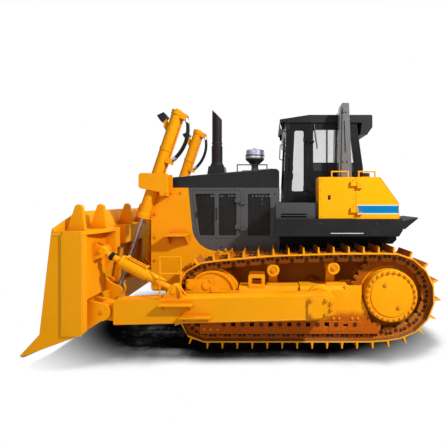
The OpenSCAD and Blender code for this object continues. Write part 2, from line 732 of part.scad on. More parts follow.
// fenders over the tracks with a step and a tail plate, and the tanks on them
step_y = -fender_out + 80;
module fender() {
    color("#2b2b2d") {
        side(-fender_out, -platform_half) soft([[549, fender_z0], [2690, fender_z0], [2757, fender_z0 + 110],
            [2757, fender_z1], [549, fender_z1]], 30);
        side(-fender_out, -platform_half) polygon([[2700, fender_z1 - 150], [2790, fender_z1 - 180],
            [3020, fender_z1 + 10], [3012, fender_z1 + 28], [2740, fender_z1 - 40]]);
        difference() {
            side(step_y, -platform_half) soft([[555, fender_z1 - 60], [1285, fender_z1 - 60],
                [1285, cab_floor_z], [555, cab_floor_z]], 25);
            box(640, 1090, step_y - 1, step_y + 150, fender_z1 + 20, fender_z1 + 90);
        }
        bar_x(630, 1100, step_y + 16, fender_z1 + 55, 13);
    }
}
module fender_left() {
    fender();
}
module fender_right() {
    right() fender();
}
tank_outline = [[tank_x0, fender_z1], [2705, fender_z1], [2690, fender_z1 + 283], [2367, tank_top],
    [tank_x0, tank_top]];
tank_hinge_z = [fender_z1 + 110, tank_top - 160];
module tank_fittings() {
    for (x = [1523, 2000]) {
        bar_x(x, x + 315, -tank_out + 70, tank_top + 100, 13);
        for (p = [x + 13, x + 302])
            bar_z(p, -tank_out + 70, tank_top - 10, tank_top + 100, 13);
    }
    translate([2180, -tank_out + 210, tank_top - 10]) rotate_extrude() polygon([[0, 0], [75, 0], [75, 35], [55, 45],
        [55, 75], [45, 85], [0, 85]]);
}
module tank_left() {
    color("#e8a81c") {
        difference() {
            side(-tank_out, -tank_in) polygon(tank_outline);
            box(tank_x0 - 1, tank_door_x1, -tank_out - 1, -tank_out + 34, fender_z1 - 1, tank_top + 1);
            box(tank_x0 + 50, tank_door_x1 - 60, -tank_out + 29, -tank_in - 40, fender_z1 + 50, tank_top - 50);
        }
        tank_fittings();
        for (z = tank_hinge_z)
            hinge_lug(tank_door_x1 + 20, -tank_out, z);
    }
}
module tank_right() {
    color("#e8a81c") right() {
        side(-tank_out, -tank_in) polygon(tank_outline);
        tank_fittings();
    }
}
module tank_door() {
    color("#e8a81c") {
        side(-tank_out, -tank_out + 28) soft(rect(tank_x0, tank_door_x1 - door_gap, fender_z1 + door_gap, tank_top), 10);
        for (z = tank_hinge_z)
            hinge_knuckle(tank_door_x1 + 20, -tank_out, z);
    }
}

// push arm: tapered box beam from the trunnion to the blade with the trunnion's cap, two steps, a hand
// rail frame and the brace's bracket
arm_out = -arm_y - arm_half;
module arm_step(x0, x1, z) {
    box(x0, x1, arm_out - 115, arm_out + 5, z, z + 28);
    for (x = [x0 + 40, x1 - 60])
        cross(x, x + 20) polygon([[arm_out + 5, z - 90], [arm_out + 5, z + 5], [arm_out - 95, z + 5]]);
}
module push_arm() {
    color("#e8a81c") difference() {
        union() {
            side(arm_out, -arm_y + arm_half) soft([[-2080, 560], [trunnion[0], trunnion[1] - 230],
                [trunnion[0] + 190, trunnion[1] - 130], [trunnion[0] + 190, trunnion[1] + 130],
                [trunnion[0], trunnion[1] + 170], [-1000, 980], [-2080, 940]], 25);
            side(arm_out - 28, arm_out + 5) soft([[trunnion[0] - 260, trunnion[1] - 200],
                [trunnion[0] + 10, trunnion[1] - 190], [trunnion[0] + 165, trunnion[1] - 110],
                [trunnion[0] + 165, trunnion[1] + 110], [trunnion[0] + 10, trunnion[1] + 140],
                [trunnion[0] - 260, trunnion[1] + 140]], 50);
            side(-arm_y - 80, -arm_y + 80) polygon([[arm_pin[0], arm_pin[1] - 140], [-2100, 600], [-2000, 600],
                [-2000, 900], [-2100, 900], [arm_pin[0], arm_pin[1] + 140]]);
            bar_y(arm_pin, 140, -arm_y - 80, -arm_y + 80);
            for (y = [-arm_y - 100, -arm_y + 60])
                side(y, y + 40) {
                    polygon([[-1330, 950], [-930, 950], [-1045, 1110], [-1215, 1110]]);
                    translate(brace_arm_pin) circle(r = 95);
                }
            bar_y(brace_arm_pin, 45, -arm_y - 110, -arm_y + 110);
            arm_step(-1330, -790, 886);
            arm_step(-1003, -497, 690);
            for (x = [-1340, -1000])
                bar_z(x, arm_out + 30, 940, 1650, 13);
            for (z = [1383, 1650])
                bar_x(-1353, -987, arm_out + 30, z, 13);
        }
        bar_y(arm_pin, 65 + fit, -arm_y - 90, -arm_y + 90);
        bar_y(trunnion, 100 + fit, -arm_y - 60, -arm_y + arm_half + 1);
    }
}
module push_arm_left() {
    push_arm();
}
module push_arm_right() {
    right() push_arm();
}

// blade: curved moldboard in a centre section and two boxed wings, back beams with gaps for the lift
// cylinders, end plates, spill guard, lugs and rounded fins
function front_x(z) = let (t = (z - blade_low_z) / moldboard_height)
    blade_low_x + (blade_top_x - blade_low_x) * t + 4 * blade_sag * t * (1 - t);
function curve(z0, z1, d) = [for (i = [0 : 8]) let (z = z0 + (z1 - z0) * i / 8) [front_x(z) + d, z]];
function mirror_list(l) = [for (i = [len(l) - 1 : -1 : 0]) l[i]];
wing_len = wing_w / cos(wing_angle);
end_y = -blade_width / 2;
seam_y = centre_half - 320;
box_x = -2440;
box_low_x = -2520;
shelf_x = -2260;
lift_gap = [lift_y - 280, lift_y + 280];
module wing() {
    translate([blade_low_x, -centre_half, 0]) rotate([0, 0, -wing_angle]) translate([-blade_low_x, 0, 0])
        children();
}
module moldboard() {
    polygon(concat(mirror_list(curve(blade_low_z, blade_top_z, 0)), curve(blade_low_z, blade_top_z, 45)));
}
// outline from the moldboard back to x, from z0 to z1
module backed(z0, z1, x, lift) {
    polygon(concat(mirror_list(curve(z0, z1, 20)), [[x, z0 + lift], [x, z1]]));
}
module spill_profile() {
    polygon([[blade_top_x, blade_top_z - 60], [blade_top_x + 30, blade_top_z - 60],
        [blade_top_x - 0.3 * spill_height + 30, blade_top_z + spill_height],
        [blade_top_x - 0.3 * spill_height, blade_top_z + spill_height]]);
}
module wing_outer() {
    intersection() {
        wing() {
            side(-wing_len - 200, 0) moldboard();
            intersection() {
                side(-wing_len - 200, 30) spill_profile();
                cross(-4000, -2000) polygon([[-wing_len - 200, blade_top_z - 60], [40, blade_top_z - 60],
                    [40, blade_top_z + spill_height], [-wing_len, blade_top_z - 10],
                    [-wing_len - 200, blade_top_z - 10]]);
            }
        }
        box(-4000, -2000, end_y + 40, 0, 0, 3000);
    }
    intersection() {
        wing() side(-wing_len - 300, 500) backed(blade_low_z + 40, blade_top_z, -1500, 0);
        side(end_y + 40, -seam_y) polygon([[-4000, 0], [box_low_x, blade_low_z + 100], [box_low_x, 1000],
            [box_x, 1000], [box_x, blade_top_z], [-4000, blade_top_z]]);
    }
    translate([0, 0, blade_top_z - 60]) linear_extrude(height = 60) polygon([[-2640, end_y + 40],
        [-2410, end_y + 40], [shelf_x, -seam_y - 280], [shelf_x, -seam_y], [-2640, -seam_y]]);
}
module end_plate() {
    polygon([[-2880, blade_top_z], [-3060, 530], [tip_x + 30, tip_z + 40], [tip_x + 60, tip_z + 25],
        [-2400, 530], [-2400, blade_top_z]]);
}
module fin(x) {
    polygon([[x - 190, blade_top_z - 40], [x + 110, blade_top_z - 40], [x + 55, blade_top_z + 355],
        [x - 52, blade_top_z + 380]]);
    translate([x, blade_top_z + 350]) circle(r = 60);
}
module blade() {
    color("#e8a81c") {
        side(-centre_half - 20, centre_half + 20) {
            moldboard();
            backed(blade_low_z + 40, 900, blade_back_x, 70);
            spill_profile();
        }
        side(-lift_gap[0], lift_gap[0]) backed(blade_top_z - 430, blade_top_z - 20, -2420, 60);
        for (y = [-600, 0, 600])
            side(y - 20, y + 20) backed(blade_low_z + 60, blade_top_z - 100, blade_back_x, 70);
        both() {
            side(-seam_y, -lift_gap[1]) backed(blade_top_z - 430, blade_top_z - 20, -2300, 60);
            wing_outer();
            side(-seam_y - 20, -seam_y + 20) polygon(concat(mirror_list(curve(blade_low_z + 40, blade_top_z, 20)),
                [[box_low_x, blade_low_z + 100], [box_low_x, 1000], [box_x + 40, 1450], [shelf_x + 10, 1640],
                [shelf_x, blade_top_z]]));
            side(end_y + 30, end_y + 75) end_plate();
            side(end_y, end_y + 160) soft(rect(-2700, -2400, 530, blade_top_z), 20);
            for (p = [[-2120, -2560], [-seam_y - 220, -2420], [-420, -2500]])
                side(p[0] - 35, p[0] + 35) fin(p[1]);
            for (y = [-arm_y - 150, -arm_y + 90])
                side(y, y + 60) {
                    polygon([[-2740, 480], [-2500, 480], [arm_pin[0], 620], [arm_pin[0], 900], [-2600, 980]]);
                    translate(arm_pin) circle(r = 140);
                }
            for (y = [-arm_y - 105, -arm_y + 60])
                side(y, y + 45) {
                    polygon([[-2480, 1560], [brace_pin[0], 1633], [brace_pin[0], 1833], [-2480, 1900]]);
                    translate(brace_pin) circle(r = 100);
                }
            bar_y(arm_pin, 65, -arm_y - 150, -arm_y + 150);
            bar_y(brace_pin, 40, -arm_y - 115, -arm_y + 115);
            for (y = [-lift_y - 110, -lift_y + 68])
                side(y, y + 42) {
                    polygon([[front_x(640) + 25, 640], [-2590, 600], [lift_pin[0], 760], [lift_pin[0], 980],
                        [-2530, 1010], [front_x(1140) + 25, 1140]]);
                    translate(lift_pin) circle(r = 110);
                }
        }
    }
}
module edge(y0, y1) {
    side(y0, y1) polygon([[blade_low_x + 5, blade_low_z - 1], [blade_low_x - 60, blade_low_z - 1],
        [tip_x + 180, tip_z], [tip_x + 235, tip_z]]);
}
module cutting_edge() {
    color("#d89a1c") {
        edge(-centre_half - 10, centre_half + 10);
        both() intersection() {
            wing() edge(-wing_len - 200, 0);
            box(-4000, -2000, end_y + 76, 0, 0, 3000);
        }
    }
}

// lift cylinders: barrel in its yoke with port block, pipe, clamps and lamp bracket; rod down to the blade
lift_len = dist(lift_pivot, lift_pin);
barrel_up = 1434;
barrel_down = 720;
barrel_r = lift_barrel_d / 2;
hose_r = 24;
hose_bow = 780;
hose_span = 72;
// place and tilt of the work lamp, and its lower face, on which its bracket ends
module lamp_frame() {
    translate([-1590, -lift_y, 4160]) rotate([0, -35, 0]) children();
}
function lamp_low(x) = -75 + (x + 70) * 25 / 145;
// one hose of radius r beside the barrel: an arc from the port block down to the valve block
module hose(r) {
    translate([hose_bow * cos(hose_span / 2) - barrel_r - 60, 0, -930]) rotate([90, 0, 0])
        rotate([0, 0, 180 - hose_span / 2]) rotate_extrude(angle = hose_span) translate([hose_bow, 0]) circle(r = r);
}
module lift_barrel() {
    color("#e8a81c") {
        along(lift_pivot, lift_pin, -lift_y) difference() {
            union() {
                rotate_extrude() polygon([[0, -barrel_up - 30], [60, -barrel_up - 30], [70, -barrel_up],
                    [barrel_r + 12, -barrel_up], [barrel_r + 12, -barrel_up + 80], [barrel_r, -barrel_up + 90],
                    [barrel_r, -700], [barrel_r + 9, -700], [barrel_r + 9, -640], [barrel_r, -640],
                    [barrel_r, barrel_down - 110], [barrel_r + 12, barrel_down - 90],
                    [barrel_r + 12, barrel_down - 10], [barrel_r, barrel_down], [0, barrel_down]]);
                translate([-125, -128, -120]) cube([250, 256, 240]);
                rotate([90, 0, 0]) translate([0, 0, -164]) cylinder(r = 50, h = 348);
                translate([-barrel_r - 95, -85, -barrel_up + 20]) cube([130, 170, 110]);
                translate([-barrel_r - 95, -85, -530]) cube([130, 170, 110]);
                translate([-barrel_r - 22, 0, -barrel_up + 60]) cylinder(r = 16, h = 1260);
            }
            translate([0, 0, -barrel_up + 60]) cylinder(d = lift_barrel_d - 50, h = barrel_up + barrel_down - 120);
            translate([0, 0, barrel_down - 100]) cylinder(d = lift_rod_d + 2 * fit, h = 200);
            for (y = [-45, 45])
                translate([0, y, 0]) hose(hose_r + fit);
        }
        lamp_frame() side(-14, 14) polygon([[-109, -253], [10, -166], [40, lamp_low(40)], [-45, lamp_low(-45)],
            [-100, -150]]);
    }
}
module lift_barrel_left() {
    lift_barrel();
}
module lift_barrel_right() {
    right() lift_barrel();
}
module lift_rod() {
    color("#b8babd") along(lift_pivot, lift_pin, -lift_y) {
        translate([0, 0, lift_len - 2020]) cylinder(d = lift_rod_d, h = 2020);
        translate([0, 0, lift_len - 190]) cylinder(r1 = lift_rod_d / 2, r2 = 54, h = 60);
        translate([0, 0, lift_len - 130]) cylinder(r = 54, h = 90);
        translate([0, 0, lift_len]) rotate([90, 0, 0]) translate([0, 0, -55]) cylinder(r = 80, h = 110);
    }
}
module lift_rod_left() {
    lift_rod();
}
module lift_rod_right() {
    right() lift_rod();
}
module lift_hoses() {
    color("#161616") along(lift_pivot, lift_pin, -lift_y)
        for (y = [-45, 45])
            translate([0, y, 0]) hose(hose_r);
}
module lift_hoses_left() {
    lift_hoses();
}
module lift_hoses_right() {
    right() lift_hoses();
}
// work lamp on its bracket: a tilted box with a round reflector opening to the front
module lamp() {
    color("#222224") lamp_frame() difference() {
        side(-95, 95) soft([[-70, lamp_low(-70)], [75, lamp_low(75)], [75, 50], [-70, 75]], 15);
        translate([-71, 0, 0]) rotate([0, 90, 0]) cylinder(r1 = 62, r2 = 30, h = 60);
    }
}
module lamp_left() {
    lamp();
}
module lamp_right() {
    right() lamp();
}

// brace cylinders: barrel with its long neck pinned on the arm, rod to the top of the blade
brace_len = dist(brace_arm_pin, brace_pin);
brace_r = brace_barrel_d / 2;
module brace_barrel() {
    color("#e8a81c") along(brace_arm_pin, brace_pin, -arm_y) difference() {
        union() {
            rotate_extrude() polygon([[0, 80], [50, 80], [50, 190], [78, 215], [78, 500], [brace_r - 6, 520],
                [brace_r - 6, 550], [brace_r, 555], [brace_r, 960], [brace_r + 10, 965], [brace_r + 10, 1010],
                [brace_r - 20, 1025], [0, 1025]]);
            rotate([90, 0, 0]) translate([0, 0, -52]) cylinder(r = 95, h = 104);
            for (y = [-40, 40])
                translate([brace_r + 14, y, 560]) cylinder(r = 12, h = 400);
            for (z = [560, 920])
                translate([brace_r - 20, -60, z]) cube([50, 120, 40]);
        }
        rotate([90, 0, 0]) translate([0, 0, -60]) cylinder(r = 45 + fit, h = 120);
        translate([0, 0, 505]) cylinder(d = brace_barrel_d - 50, h = 475);
        translate([0, 0, 900]) cylinder(d = brace_rod_d + 2 * fit, h = 300);
    }
}
module brace_barrel_left() {
    brace_barrel();
}
module brace_barrel_right() {
    right() brace_barrel();
}
module brace_rod() {
    color("#e8a81c") along(brace_arm_pin, brace_pin, -arm_y) difference() {
        union() {
            translate([0, 0, 600]) cylinder(d = brace_rod_d, h = brace_len - 600);
            translate([0, 0, brace_len]) rotate([90, 0, 0]) translate([0, 0, -52]) cylinder(r = 90, h = 104);
        }
        translate([0, 0, brace_len]) rotate([90, 0, 0]) translate([0, 0, -60]) cylinder(r = 45, h = 120);
    }
}
module brace_rod_left() {
    brace_rod();
}
module brace_rod_right() {
    right() brace_rod();
}

main_frame();
rear_case();
platform();
radiator_guard();
radiator_grille();
hood();
engine_sides();
engine_block();
engine_door_left();
engine_door_right();
exhaust_stack();
precleaner();
cab_floor();
cab_front();
cab_rear();
cab_side_left();
cab_side_right();
cab_roof();
cab_glass();
cab_door_left();
cab_door_right();
door_glass_left();
door_glass_right();
seat();
console();
rops_post_left();
rops_post_right();
rops_beam();
fender_left();
fender_right();
tank_left();
tank_right();
tank_door();
track_left();
track_right();
track_frame_left();
track_frame_right();
sprocket_left();
sprocket_right();
rollers_left();
rollers_right();
push_arm_left();
push_arm_right();
blade();
cutting_edge();
lift_barrel_left();
lift_barrel_right();
lift_rod_left();
lift_rod_right();
lift_hoses_left();
lift_hoses_right();
lamp_left();
lamp_right();
brace_barrel_left();
brace_barrel_right();
brace_rod_left();
brace_rod_right();
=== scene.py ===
import math

import bmesh
import bpy
from mathutils import Matrix, Vector


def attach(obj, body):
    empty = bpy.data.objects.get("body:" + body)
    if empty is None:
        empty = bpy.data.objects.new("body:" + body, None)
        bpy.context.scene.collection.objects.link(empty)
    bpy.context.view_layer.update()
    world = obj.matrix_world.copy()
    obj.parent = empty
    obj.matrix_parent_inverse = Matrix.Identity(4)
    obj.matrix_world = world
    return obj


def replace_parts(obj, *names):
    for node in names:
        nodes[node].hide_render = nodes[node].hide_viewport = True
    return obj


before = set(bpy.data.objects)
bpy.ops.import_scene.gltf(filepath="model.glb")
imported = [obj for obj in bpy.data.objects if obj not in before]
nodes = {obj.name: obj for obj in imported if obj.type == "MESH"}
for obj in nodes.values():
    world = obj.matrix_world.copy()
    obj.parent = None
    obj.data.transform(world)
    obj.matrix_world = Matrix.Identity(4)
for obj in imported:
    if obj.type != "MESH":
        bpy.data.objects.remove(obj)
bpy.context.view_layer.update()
sides = (("left", -1), ("right", 1))

# Studio: the machine stands on a white floor in front of a white backdrop, seen level from its left side.
# A hard lamp hangs high at the rear left, soft ones hang overhead, on the near side and behind. The floor
# glows white with a painted shadow, dark where the machine shuts out the sky and reaching farther out at the
# blade and at the rear end.
scene = bpy.context.scene
scene.view_settings.view_transform = "Standard"


class Signal:
    """A socket in a graph. Sums and comparisons of signals add Math nodes."""

    def __init__(self, graph, socket):
        self.graph = graph
        self.socket = socket

    def combine(self, operation, first, second):
        return self.graph.node("ShaderNodeMath", {"operation": operation}, {0: first, 1: second})

    def __add__(self, other):
        return self.combine("ADD", self, other)

    def __sub__(self, other):
        return self.combine("SUBTRACT", self, other)

    def __mul__(self, other):
        return self.combine("MULTIPLY", self, other)

    def __rsub__(self, other):
        return self.combine("SUBTRACT", other, self)

    def __gt__(self, other):
        return self.combine("GREATER_THAN", self, other)

    def __lt__(self, other):
        return self.combine("LESS_THAN", self, other)

    def __abs__(self):
        return self.combine("ABSOLUTE", self, 0.0)

    __radd__ = __add__
    __rmul__ = __mul__


class Graph:
    """A node tree of a finish, a world or a rule. node() takes a node's settings, then its sockets."""

    def __init__(self, tree, holder=None):
        self.tree = tree
        self.holder = holder
        tree.nodes.clear()

    def node(self, kind, settings=None, sockets=None, out=0):
        made = self.tree.nodes.new(kind)
        for key, value in (settings or {}).items():
            setattr(made, key, value)
        for key, value in (sockets or {}).items():
            for part in value if isinstance(value, list) else [value]:
                if isinstance(part, Signal):
                    self.tree.links.new(part.socket, made.inputs[key])
                else:
                    made.inputs[key].default_value = part
        return Signal(self, made.outputs[out]) if made.outputs else None

    def place(self):
        return self.node("ShaderNodeTexCoord", out="Object")

    def facing(self):
        return self.node("ShaderNodeNewGeometry", out="Normal")

    def ray(self, kind):
        return self.node("ShaderNodeLightPath", out=kind)

    def axis(self, vector, name):
        return self.node("ShaderNodeSeparateXYZ", None, {"Vector": vector}, out=name)

    def vector(self, operation, *parts):
        out = "Value" if operation in ("LENGTH", "DOT_PRODUCT") else "Vector"
        return self.node("ShaderNodeVectorMath", {"operation": operation}, dict(enumerate(parts)), out)

    def clamp(self, value):
        return self.node("ShaderNodeClamp", None, {"Value": value})

    def ramp(self, value, none, full, kind="LINEAR"):
        return self.node("ShaderNodeMapRange", {"interpolation_type": kind}, {
            "Value": value, "From Min": none, "From Max": full})

    def open_sky(self, distance, **settings):
        return self.node("ShaderNodeAmbientOcclusion", settings, {"Distance": distance}, out="AO")

    def noise(self, place, scale, detail, **more):
        return self.node("ShaderNodeTexNoise", None, {
            "Vector": place, "Scale": scale, "Detail": detail, **more})

    def mixed(self, share, first, second):
        first, second = (tone if isinstance(tone, Signal) else (*tone, 1) for tone in (first, second))
        return self.node("ShaderNodeMix", {"data_type": "RGBA"}, {
            "Factor": share, 6: first, 7: second}, out=2)

    def bump(self, height, strength, distance, **more):
        return self.node("ShaderNodeBump", None, {
            "Height": height, "Strength": strength, "Distance": distance, **more})

    def surface(self, shader):
        self.node("ShaderNodeOutputMaterial", None, {"Surface": shader})
        return self.holder

    def skin(self, sockets):
        return self.surface(self.node("ShaderNodeBsdfPrincipled", None, sockets))


def finish(name):
    material = bpy.data.materials.new(name)
    material.use_nodes = True
    return Graph(material.node_tree, material)


def placed(name, data):
    piece = bpy.data.objects.new(name, data)
    scene.collection.objects.link(piece)
    return piece


scene.world = bpy.data.worlds.new("white_backdrop")
scene.world.use_nodes = True
backdrop = Graph(scene.world.node_tree)
seen = backdrop.ray("Is Camera Ray") + backdrop.ray("Is Glossy Ray") + backdrop.ray("Is Transmission Ray")
level = 0.17 + 0.83 * backdrop.clamp(seen)
backdrop.node("ShaderNodeOutputWorld", None, {
    "Surface": backdrop.node("ShaderNodeBackground", None, {"Color": (1, 1, 1, 1), "Strength": level})})

view = bpy.data.cameras.new("photo_view")
view.sensor_width = 36
view.lens = 27.95
view.shift_x = -0.104
view.shift_y = -0.0526
scene.camera = placed("photo_view", view)
scene.camera.location = (0.45, -7.6, 2.58)
scene.camera.rotation_euler = (math.pi / 2, 0, 0)

for name, place, target, size, power in (
        ("key_lamp", (7.0, -6.5, 8.2), (0, 0, 1.0), 0.7, 1350),
        ("overhead_lamp", (0.5, 1.0, 9.0), (0, 0, 0), 3.0, 330),
        ("side_fill", (-2.0, -10.0, 3.5), (0, 0, 1.5), 6.0, 150),
        ("rear_fill", (-3.0, 8.0, 5.0), (0, 0, 1.5), 5.0, 330)):
    lamp = bpy.data.lights.new(name, "AREA")
    lamp.size = size
    lamp.energy = power
    holder = placed(name, lamp)
    holder.location = place
    holder.rotation_euler = (Vector(target) - Vector(place)).to_track_quat("-Z", "Y").to_euler()

floor_reach, floor_z = 60, -0.002
floor_mesh = bpy.data.meshes.new("studio_floor")
floor_corners = [(x * floor_reach, y * floor_reach, floor_z) for x, y in ((-1, -1), (1, -1), (1, 1), (-1, 1))]
floor_mesh.from_pydata(floor_corners, [], [(0, 1, 2, 3)])
floor = placed("studio_floor", floor_mesh)
pale = finish("pale_floor")
place = pale.place()
away = pale.vector("LENGTH", pale.vector("MULTIPLY", place, (0.24, 0.36, 0)))
fade = pale.ramp(away, 0.7, 1.2, "SMOOTHSTEP")
along = pale.axis(place, "X")
rear_reach = pale.ramp(along, 0.9, 2.3)
blade_reach = pale.ramp(along, -0.9, -1.5)
sky = pale.open_sky(1.3, samples=32)
# Painted shadow: the floor's glow darkens with the occlusion, pushed farther out at the rear and at the
# blade.
open_air = pale.ramp(sky - 0.24 * rear_reach - 0.13 * blade_reach, 0.455, 0.66, "SMOOTHSTEP")
shadow = pale.mixed(pale.clamp(open_air + fade), (0.001, 0.001, 0.001), (1, 1, 1))
floor_mesh.materials.append(pale.surface(pale.node("ShaderNodeMixShader", None, {
    0: pale.ray("Is Diffuse Ray"),
    1: pale.node("ShaderNodeEmission", None, {"Color": shadow, "Strength": 1.0}),
    2: pale.node("ShaderNodeBsdfDiffuse", None, {"Color": (0.3, 0.3, 0.3, 1)})})))


# Paint: two coats sprayed on steel plate. Thin clouds of dust, rain marks down the sides, painted shade in
# the corners, fine orange peel, and edges rubbed to a lighter tone that is partly a painted highlight, all on
# the piece's own coordinates.
def paint(name, colour, worn, roughness, coat=0.02, dusty=0.1, marks=None, rounding=0.012, shine=0.2):
    made = finish(name)
    place = made.place()
    clouds = made.noise(place, 1.9, 5.0, Roughness=0.6)
    grain = made.noise(place, 38.0, 3.0)
    peel = made.noise(place, 160.0, 2.0)
    stretched = made.node("ShaderNodeMapping", None, {"Vector": place, "Scale": (26, 26, 0.9)})
    rain = made.noise(stretched, 1.0, 3.0)
    rounded = made.node("ShaderNodeBevel", {"samples": 4}, {"Radius": rounding})
    flat = made.facing()
    bend = 1 - made.vector("DOT_PRODUCT", rounded, flat)
    # Rubbed edges: paint worn on the edges, in a lighter tone that is partly a painted highlight.
    rubbed_and_highlit = made.ramp(bend * (0.4 + 1.2 * grain), 0.05, 0.2)
    cloud = made.ramp(clouds, 0.45, 0.75)
    streak = made.ramp(rain, 0.55, 0.8)
    tone = made.mixed(clouds, [0.9 * c for c in colour], [min(1, 1.08 * c) for c in colour])
    for mask, other in marks(made, place) if marks else ():
        tone = made.mixed(mask, tone, other)
    # Painted shade: the piece's own corners and hollows darken towards a deep red-brown.
    corner = made.ramp(made.open_sky(0.22, samples=6, only_local=True), 0.85, 0.35)
    tone = made.mixed(corner * 0.75, tone, (0.6 * colour[0], 0.3 * colour[1], 0.3 * colour[2]))
    upward = made.clamp(made.axis(flat, "Z"))
    settled = made.clamp(cloud * (0.6 + 1.4 * upward) + 0.5 * streak)
    dusted = made.mixed(settled * dusty, tone, (0.5, 0.42, 0.31))
    return made.skin({
        "Base Color": made.mixed(rubbed_and_highlit * 0.75, dusted, worn),
        "Roughness": roughness + 0.16 * settled + 0.1 * rubbed_and_highlit,
        "Coat Weight": coat * (1 - 0.7 * settled),
        "Coat Roughness": 0.12,
        "Specular IOR Level": shine,
        "Normal": made.bump(peel, 0.06, 0.002, Normal=rounded)})


def machine_yellow(name, marks=None):
    return paint(name, (0.97, 0.37, 0.003), (1.0, 0.46, 0.006), 0.42, dusty=0.025, marks=marks, shine=0.05)


def dress(material, *names):
    for name in names:
        mesh = nodes[name].data
        mesh.materials.clear()
        mesh.materials.append(material)


def dress_pair(material, *names):
    dress(material, *[name + "_" + side for name in names for side, sign in sides])


yellow = machine_yellow("yellow_machine_paint")

# Tracks: forged links with pressed-in pins, and rolled shoes with one tall grouser bar, four bolts to
# a shoe. Links and the middles of the shoes are oiled brown between yellow rims; faces turned to the inside
# of the loop are painted dark brown as shade.
half_gauge = 1.275
shoe_pitch = 0.26
plate_out = 0.11
first_pin = 0.029
link_half_width = 0.165
loop_middle = (0.99, 0, 0.9)
sprocket = (2.565, 0.905)
carriers = ((0.505, 1.33), (1.575, 1.365))
belt_wheels = [(-0.72, 0.505, 0.29), (2.295, 0.505, 0.29), (*sprocket, 0.645), (*carriers[1], 0.18),
               (*carriers[0], 0.18), (-0.585, 0.9, 0.51)]


def wheel_pair(i):
    return *belt_wheels[i % 6], *belt_wheels[(i + 1) % 6]


def leave(i):
    ax, az, ar, bx, bz, br = wheel_pair(i)
    return math.atan2(bz - az, bx - ax) - math.acos((ar - br) / math.hypot(bx - ax, bz - az))


def belt_arc(i):
    return belt_wheels[i % 6][2] * ((leave(i) - leave(i - 1)) % (2 * math.pi))


def belt_line(i):
    ax, az, ar, bx, bz, br = wheel_pair(i)
    return math.sqrt((bx - ax) ** 2 + (bz - az) ** 2 - (ar - br) ** 2)


def on_belt(run):
    for i in range(6):
        x, z, r = belt_wheels[i]
        if run < belt_arc(i):
            turn = leave(i - 1) + run / r
            return Vector((x + r * math.cos(turn), z + r * math.sin(turn)))
        run -= belt_arc(i)
        if run < belt_line(i) or i == 5:
            c, s = math.cos(leave(i)), math.sin(leave(i))
            return Vector((x + r * c - run * s, z + r * s + run * c))
        run -= belt_line(i)


belt_length = sum(belt_arc(i) + belt_line(i) for i in range(6))
shoe_count = round(belt_length / shoe_pitch)
pins = [on_belt((belt_arc(0) + first_pin + i * belt_length / shoe_count) % belt_length)
        for i in range(shoe_count)]


def on_link(i, share, out):
    first, last = pins[i], pins[(i + 1) % shoe_count]
    run = (last - first).normalized()
    facing = Vector((run.y, -run.x))
    return first + share * (last - first) + out * facing, facing


def link_brown(made, place):
    flat = made.facing()
    across = abs(abs(made.axis(place, "Y")) - half_gauge)
    side_face = (abs(made.axis(flat, "Y")) > 0.5) * (across < 0.2)
    from_middle = made.vector("SUBTRACT", place, loop_middle)
    outward = made.vector("NORMALIZE", made.vector("MULTIPLY", from_middle, (0.3, 0, 1)))
    # Painted shade: faces turned to the inside of the loop darken to a deep brown.
    painted_inner_shade = made.vector("DOT_PRODUCT", outward, flat) < -0.7
    oiled = made.ramp(across + 0.04 * made.noise(place, 6.0, 4.0), 0.3, 0.27)
    return [(oiled * 0.85, (0.36, 0.075, 0.004)), (side_face, (0.42, 0.115, 0.006)),
            (painted_inner_shade, (0.2, 0.09, 0.03))]


dress_pair(paint("track_paint", (0.95, 0.37, 0.004), (1.0, 0.5, 0.02), 0.5, dusty=0.08, marks=link_brown,
                 shine=0.06), "track")


def rule(name, **inputs):
    """A Geometry Nodes tree with a named input for each size, and one for the material."""
    tree = bpy.data.node_groups.new(name, "GeometryNodeTree")
    for key, kind in (("Geometry", "Geometry"), *inputs.items(), ("Material", "Material")):
        tree.interface.new_socket(key, in_out="INPUT", socket_type="NodeSocket" + kind)
    tree.interface.new_socket("Geometry", in_out="OUTPUT", socket_type="NodeSocketGeometry")
    graph = Graph(tree)
    return graph, {key: graph.node("NodeGroupInput", out=key) for key in ("Geometry", *inputs, "Material")}


def close_rule(graph, given, geometry):
    graph.node("NodeGroupOutput", None, {"Geometry": graph.node("GeometryNodeSetMaterial", None, {
        "Geometry": graph.node("GeometryNodeRealizeInstances", None, {"Geometry": geometry}),
        "Material": given["Material"]})})


def fixed(piece, body):
    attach(piece, body)
    return piece


def as_mesh(piece):
    return bpy.data.meshes.new_from_object(piece.evaluated_get(bpy.context.evaluated_depsgraph_get()))


def grown(name, tree, base, body, slot, **inputs):
    """Runs a tree on a base mesh, and fixes the plain mesh that comes of it on a body."""
    piece = placed(name, base)
    growth = piece.modifiers.new("growth", "NODES")
    growth.node_group = tree
    for socket in tree.interface.items_tree:
        if socket.in_out == "INPUT" and socket.name in inputs:
            growth[socket.identifier] = inputs[socket.name]
    made = as_mesh(piece)
    piece.modifiers.remove(growth)
    piece.data = made
    made.name = name
    return fixed(piece, body)


heads, given = rule("bolt_heads", Width="Float", Height="Float", Flange="Float", Sides="Int")
radius = 0.56 * given["Width"]
height = given["Height"]


def cone(vertices, low, high, depth):
    return heads.node("GeometryNodeMeshCone", None, {
        "Vertices": vertices, "Radius Bottom": low, "Radius Top": high, "Depth": depth})


